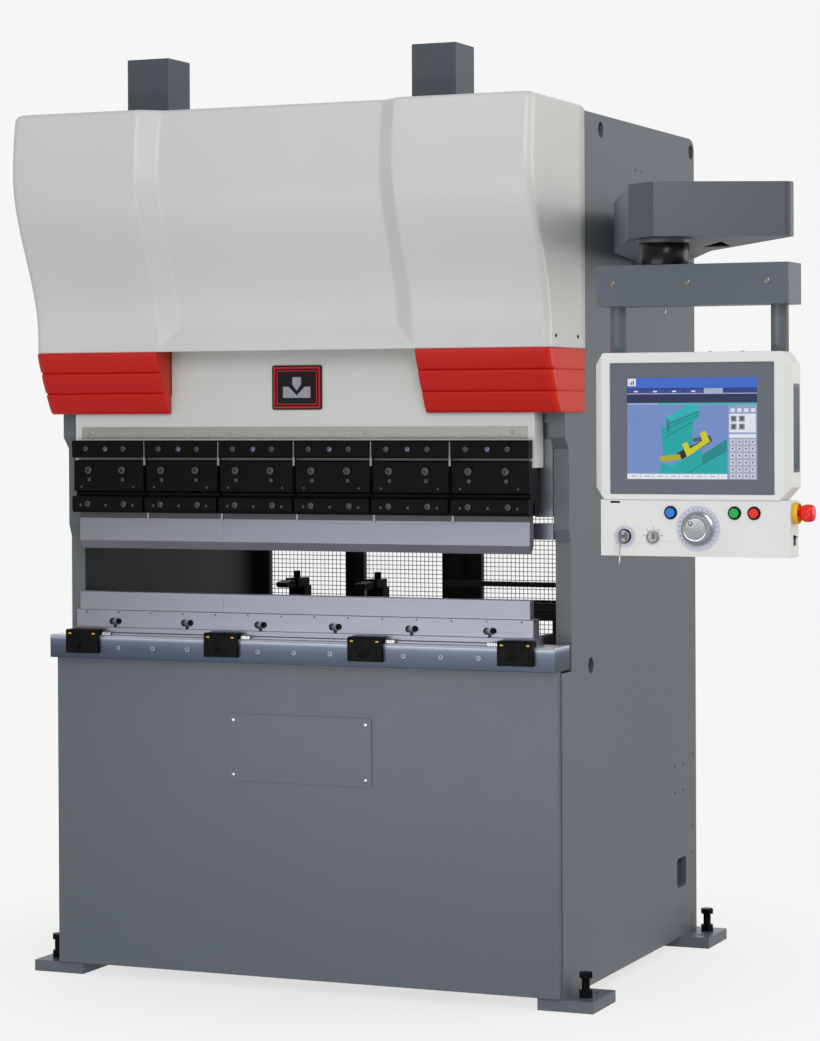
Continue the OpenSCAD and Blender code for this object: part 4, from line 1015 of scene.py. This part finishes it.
def drag_chain_links():
    """The cable chain folds back over itself: links along the lower run, the bend and the return."""
    low, high = box_mm("drag_chain")
    radius, pitch = (high.z - low.z) / 2 - 7, 17
    y = (low.y + high.y) / 2
    turn_x, mid_z = high.x - radius - 7, (low.z + high.z) / 2
    run, bend = turn_x - low.x - 8, math.pi * radius
    spots, aims = [], []
    for k in range(int((2 * run + bend) // pitch) + 1):
        s = k * pitch
        if s < run:
            spots.append((low.x + 8 + s, y, mid_z - radius))
            aims.append((1, 0, 0))
        elif s < run + bend:
            a = (s - run) / radius - math.pi / 2
            spots.append((turn_x + radius * math.cos(a), y, mid_z + radius * math.sin(a)))
            aims.append((-math.sin(a), 0, math.cos(a)))
        else:
            spots.append((turn_x - (s - run - bend), y, mid_z + radius))
            aims.append((-1, 0, 0))
    body = "gauge"
    chain = bars("drag_chain_links", body, "black_plastic", spots, aims, (13, 15.5, 12))
    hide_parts("drag_chain")
    bars("drag_chain_pins", body, "black_plastic", spots, aims, (9, 14, 17.2))


# ---- Operator panel ----

def glow(name, colour, strength=0.8):
    """A lit area of the display, with the faint rows of its dots."""
    finish = Finish(name, 0.22, Emission_Strength=strength)
    rows = finish.noise(1.0, 2, finish.stretched((40, 40, 900)))
    finish.tint(finish.spread(rows, 0, 1), dimmed(colour, 0.9), colour, "Emission Color")
    finish.tint(rows, (0.01, 0.01, 0.01, 1), dimmed(colour, 0.12))
    return finish.material


SCREEN_COLOURS = {
    "sky": (119, 148, 208), "header": (62, 108, 212), "tabs": (36, 58, 140), "tab": (58, 76, 150),
    "active_tab": (176, 184, 205), "rule": (170, 182, 220), "band": (32, 42, 84), "teal_rule": (48, 192, 182),
    "side": (150, 170, 214), "paper": (240, 243, 248), "button": (128, 134, 158), "glyph": (30, 44, 90),
    "keypad": (170, 176, 198), "key": (208, 212, 228), "face": (0, 172, 172), "lit_face": (0, 192, 190),
    "shade": (0, 142, 142), "line": (12, 70, 78), "sheet": (214, 212, 24), "sheet_edge": (184, 178, 14),
    "gauge": (88, 88, 88), "black": (8, 8, 8),
}

# The display shows a bent sheet between punch and die, on a grid 100 wide and 75 high.
PICTURE = [
    ("face", [(27, 31), (29.5, 30), (33, 33), (51.5, 42.5), (50.5, 30), (51, 24.5), (43, 21.5), (36, 18),
              (28, 16.5)]),
    ("lit_face", [(30.5, 45.5), (33, 43.5), (56, 52.5), (56, 54.5), (47, 54.5)]),
    ("shade", [(30.5, 45.5), (33, 43.5), (33, 33), (30.5, 37.5)]),
    ("face", [(33, 43), (56, 51.5), (56, 45.5), (51.5, 42.5), (33, 33)]),
    ("face", [(26.5, 38.5), (27.5, 40), (30.5, 37.5), (33, 33), (29.5, 30), (27, 31)]),
    ("line", [(33, 41.2), (56, 50.2), (56, 49.8), (33, 40.7)]),
    ("line", [(33, 38.8), (56, 47.8), (56, 47.5), (33, 38.4)]),
    ("line", [(33, 33.2), (51.5, 42.7), (51.5, 42.3), (33, 32.8)]),
    ("line", [(29.4, 30.2), (33, 33.2), (33, 32.8), (29.6, 29.8)]),
    ("face", [(25.5, 4), (26, 12.5), (33, 10.5), (43, 14.5), (57.5, 23), (58, 18), (77, 30), (77, 4)]),
    ("shade", [(58, 18), (77, 30), (77, 21.5), (58.2, 11.5)]),
    ("line", [(58, 11.4), (77, 21.6), (77, 21.2), (58, 11)]),
    ("line", [(46, 4), (58, 11.4), (58, 11), (46.6, 4)]),
    ("lit_face", [(32.5, 9.5), (43, 14.5), (43.2, 13.5), (33, 8.8)]),
    ("gauge", [(51, 30), (57, 31.5), (64.5, 32.5), (66, 28.5), (64, 27), (58, 28.5), (51, 27.5)]),
    ("black", [(36, 17.5), (43, 21.5), (58, 28.5), (64, 27), (45.5, 16.3), (42, 14.6)]),
    ("sheet_edge", [(25, 16.3), (27, 17), (41, 18.7), (42, 14.6), (26.3, 13)]),
    ("sheet", [(46.5, 16.5), (64, 27.8), (60.5, 36), (56.5, 34), (58.2, 28.2), (48.8, 22.8), (46.5, 27.5),
               (42.5, 26)]),
]


def screen_picture():
    """The display's picture as flat areas, each layer a hair in front of the one under it."""
    low, high = box_mm("display")
    unit = (high.x - low.x) / 100
    layer = [0]
    bm = bmesh.new()
    names = list(SCREEN_COLOURS)

    def area(colour, points):
        layer[0] += 1
        depth = low.y - 0.02 - 0.006 * layer[0]
        face = bm.faces.new([bm.verts.new(at(low.x + x * unit, depth, low.z + z * unit)) for x, z in points])
        face.material_index = names.index(colour)
        face.normal_update()
        if face.normal.y > 0:
            face.normal_flip()

    def panel(colour, x0, z0, x1, z1):
        area(colour, [(x0, z0), (x1, z0), (x1, z1), (x0, z1)])

    panel("sky", 0, 0, 100, 75)
    panel("header", 0, 67.5, 100, 75)
    panel("paper", 0.6, 69, 7, 74.5)
    for k, tall in enumerate((1.2, 2.2, 3.2)):
        panel("glyph", 2 + 1.3 * k, 70, 2.8 + 1.3 * k, 70 + tall)
    panel("tabs", 0, 63.6, 100, 67.5)
    for k in range(4):
        panel("tab", 0.5 + 14.8 * k, 63.8, 14 + 14.8 * k, 66.2)
        panel("paper", 5.5 + 14.8 * k, 64.4, 8.5 + 14.8 * k, 65.4)
    panel("active_tab", 59.5, 63.6, 74, 67.2)
    panel("rule", 0, 62.9, 100, 63.6)
    panel("band", 0, 56.4, 100, 62.9)
    panel("rule", 0, 55.2, 24, 56.4)
    panel("teal_rule", 24, 55.2, 100, 56.4)
    for colour, points in PICTURE:
        area(colour, points)
    panel("side", 78, 0, 100, 55)
    panel("teal_rule", 78.8, 53.4, 83.5, 54.6)
    for k in range(4):
        panel("paper", 79.8 + 5.2 * k, 49.6, 83 + 5.2 * k, 52.2)
    panel("paper", 79, 34.6, 99, 48.2)
    for k in range(2):
        for n in range(2):
            panel("button", 80 + 6.2 * k, 36.6 + 5.8 * n, 84.4 + 6.2 * k, 41 + 5.8 * n)
            panel("glyph", 81.4 + 6.2 * k, 38 + 5.8 * n, 83 + 6.2 * k, 39.8 + 5.8 * n)
    panel("paper", 79, 30.6, 99, 33.2)
    panel("keypad", 78.6, 0, 99.6, 30)
    for k in range(4):
        for n in range(6):
            panel("key", 79.4 + 5.1 * k, 0.4 + 5.05 * n, 83.4 + 5.1 * k, 4.3 + 5.05 * n)
            panel("glyph", 80.9 + 5.1 * k, 1.8 + 5.05 * n, 81.9 + 5.1 * k, 3 + 5.05 * n)
    panel("paper", 0, 0.1, 77.3, 4)
    for k in range(1, 8):
        panel("button", 10.1 * k - 0.15, 0.6, 10.1 * k + 0.15, 3.8)
        panel("active_tab", 10.1 * k - 6.5, 1.8, 10.1 * k - 2.5, 2.6)
    mesh = mesh_of("screen_picture", bm, outward=False)
    for name, (r, g, b) in SCREEN_COLOURS.items():
        mesh.materials.append(glow(f"screen_{name}", srgb(r, g, b)))
    settle("screen_picture", mesh, "panel", "screen")


BEZEL_RING = [(11, 0), (15.2, 0), (15.2, 2.4), (14.2, 3.4), (11.8, 3.4), (11, 2.6)]
DIAL_LILAC = plastic("dial_lilac", srgb(196, 196, 212), 0.5)
COLLAR_YELLOW = plastic("collar_yellow", srgb(238, 178, 8), 0.35)
KEY_METAL = steel("key_metal", srgb(205, 200, 186), srgb(180, 175, 160), 0.3, (80, 80, 80), 0.05)


def turned_piece(name, body, slot, centre, axis, profile, ring=False, sides=48, smooth=40, **dressing):
    """A turned form as a piece of its own; dressing is settle's finish and the nodes it stands for."""
    bm = bmesh.new()
    turned(bm, centre, axis, profile, sides, ring)
    return settle(name, mesh_of(name, bm), body, slot, smooth=smooth, **dressing)


def middle_of(node):
    low, high = box_mm(node)
    return (low + high) / 2


def rays(centre, radius, y, turns):
    """Places on a circle round a dial, and the way that a mark points at each."""
    aims = [(math.sin(a), 0, math.cos(a)) for a in turns]
    return [(centre.x + radius * u, y, centre.z + radius * w) for u, _, w in aims], aims


def panel_controls():
    """Rings round the buttons, discs under the dials, the jog wheel, lock, collar and marks."""
    box_low, box_high = box_mm("control_box")
    front = box_low.y
    forward = (0, -1, 0)
    bm = bmesh.new()
    for colour in ("blue", "green", "red"):
        spot = middle_of(f"{colour}_button")
        turned(bm, (spot.x, front, spot.z), forward, BEZEL_RING, 40, True)
    settle("button_rings", mesh_of("button_rings", bm), "panel", "black_plastic", smooth=40)

    jog, lock, mode = middle_of("jog_wheel"), middle_of("key_switch"), middle_of("mode_selector")
    jog.y = lock.y = mode.y = front
    for name, spot, radius in (("jog_disc", jog, 51.5), ("lock_disc", lock, 25)):
        disc = [(0, 0), (radius, 0), (radius, 0.4), (0, 0.4)]
        piece = turned_piece(name, "panel", "panel_white", spot, forward, disc, sides=72, finish=DIAL_LILAC)
        loose_slot(piece)
    turned_piece("jog_dial", "jog", "knob_metal", jog, forward, [
        (0, -14), (6, -14), (6, 2.5), (38, 2.5), (38.6, 3.2), (38.6, 5.6), (37.4, 7.2), (35, 8.2), (33.6, 8.8),
        (29.4, 22), (28.6, 24.4), (27, 25.8), (25.4, 26), (24.4, 25.2), (23.6, 24.4), (12, 24), (0, 23.9)],
        sides=96, stands_for=["jog_wheel"], smooth=28)
    turned_piece("jog_dimple", "jog", "dark_steel", jog + Vector((-11, 0, 12)), forward,
                 [(5.2, 23.6), (5.2, 24.6), (4.4, 24.8), (3.4, 24.2), (0, 23.8), (0, 23.4)], sides=32)
    for name, spot, r0, r1, first, last, step in (
            ("jog_marks", jog, 42, 46.5, -140, 140, 14), ("mode_marks", mode, 19, 23, -80, 80, 40)):
        turns = [math.radians(a) for a in range(first, last + 1, step)]
        spots, aims = rays(spot, (r0 + r1) / 2, front - 0.5, turns)
        bars(name, "panel", "black_plastic", spots, aims, (1, 0.3, r1 - r0))
    turns = [math.radians(a) for a in range(0, 360, 10)]
    spots, aims = rays(jog, 35.8, front - 8, turns)
    bars("jog_dial_marks", "jog", "black_plastic", spots, aims, (0.6, 0.6, 2.4))
    turned_piece("lock_ring", "panel", "black_plastic", lock, forward,
                 [(14.2, 0.2), (16.6, 0.2), (16.6, 1.8), (15.6, 2.6), (14.2, 2.6)], ring=True)

    bm = bmesh.new()
    key_y = front - 33
    block(bm, (lock.x - 0.9, key_y - 2.6, lock.z - 61), (lock.x + 0.9, key_y + 2.6, lock.z - 26), 0.4)
    block(bm, (lock.x - 0.9, key_y - 7, lock.z - 28), (lock.x + 0.9, key_y + 7, lock.z - 10), 0.8)
    spare_key = mesh_of("spare_key", bm)
    loose_slot(settle("spare_key", spare_key, "panel", "knob_metal", smooth=35, finish=KEY_METAL))

    stop = middle_of("stop_mushroom")
    stop.x = box_high.x
    loose_slot(turned_piece("stop_collar", "panel", "panel_white", stop, (1, 0, 0), [
        (8.8, 0), (23.6, 0), (24.4, 1), (24.4, 9.6), (23, 11.8), (21.6, 12), (21.6, 4.4), (8.8, 4.4)],
        ring=True, sides=64, finish=COLLAR_YELLOW))
    bm = bmesh.new()
    sides = 72
    turned(bm, stop, (1, 0, 0), [
        (0, -16), (8, -16), (8, 12), (14, 14.4), (16.6, 17.6), (18.4, 22), (19.8, 26), (20, 34), (19.4, 39),
        (17.8, 43), (14.5, 45.4), (9, 46.4), (0, 46.8)], sides)
    for vert in bm.verts:
        away = Vector((0, vert.co.y, vert.co.z)) - Vector((0, at(*stop).y, at(*stop).z))
        if away.length > 0.0175:
            turn = math.atan2(away.z, away.y)
            vert.co -= away.normalized() * 0.0006 * (1 + math.cos(turn * sides / 3))
    # The stop head takes the red cap's finish and with it a faint glow, which is painted light: the mushroom
    # has no lamp under it.
    settle("stop_head", mesh_of("stop_head", bm), "emergency_stop", "red_cap", ["stop_mushroom"], smooth=50)


GRIP_GREY = plastic("grip_grey", srgb(92, 102, 112), 0.5, 900, 0.35)


def panel_case():
    """The housing's grip inserts and top screws, and the hanger's screws."""
    low, high = box_mm("panel_housing")
    screen_low, screen_high = box_mm("display")
    middle_z = (screen_low.z + screen_high.z) / 2
    bm = bmesh.new()
    for edge, inward in ((low.x, 1), (high.x, -1)):
        x0, x1 = sorted((edge + inward * 3.8, edge - inward * 0.2))
        block(bm, (x0, low.y + 22.4, middle_z - 97), (x1, high.y - 6.4, middle_z + 97), 1.2)
        for k in range(9):
            y = low.y + 28 + 4.8 * k
            x0, x1 = sorted((edge + inward * 1.5, edge - inward * 1.0))
            block(bm, (x0, y, middle_z - 92), (x1, y + 2.2, middle_z + 92), 0.6)
    grips = mesh_of("panel_grips", bm)
    loose_slot(settle("panel_grips", grips, "panel", "black_plastic", smooth=40, finish=GRIP_GREY))
    middle = (low.x + high.x) / 2
    lid_spots = [(middle + x, low.y + 30, high.z) for x in (-112, -37, 37, 112)]
    screws("housing_screws", "panel", "knob_metal", lid_spots, (0, 0, 1), 4.5, 2, 2)
    hang_low, hang_high = box_mm("panel_hanger")
    bar_z = hang_high.z - 40
    across = hang_high.x - hang_low.x
    screws("hanger_screws", "panel", "knob_metal",
           [(hang_low.x + share * across, hang_low.y, bar_z) for share in (0.085, 0.48, 0.89)],
           (0, -1, 0), 6.5, 3, 3.4, ZINC)


SCREWS = screw_tree()
BARS = bar_tree()
WIRES = wire_tree()

camera()
studio()
dress_cad_nodes()
hood()
soften_edges()
for side_name in SIDES:
    corner_trim(side_name)
    rear_guard(side_name)
ruler_scale()
badge()
holder_screws()
table_screws()
for number in range(1, 5):
    stop_details(number)
frame_screws()
hatch_backs()
drag_chain_links()
screen_picture()
panel_controls()
panel_case()
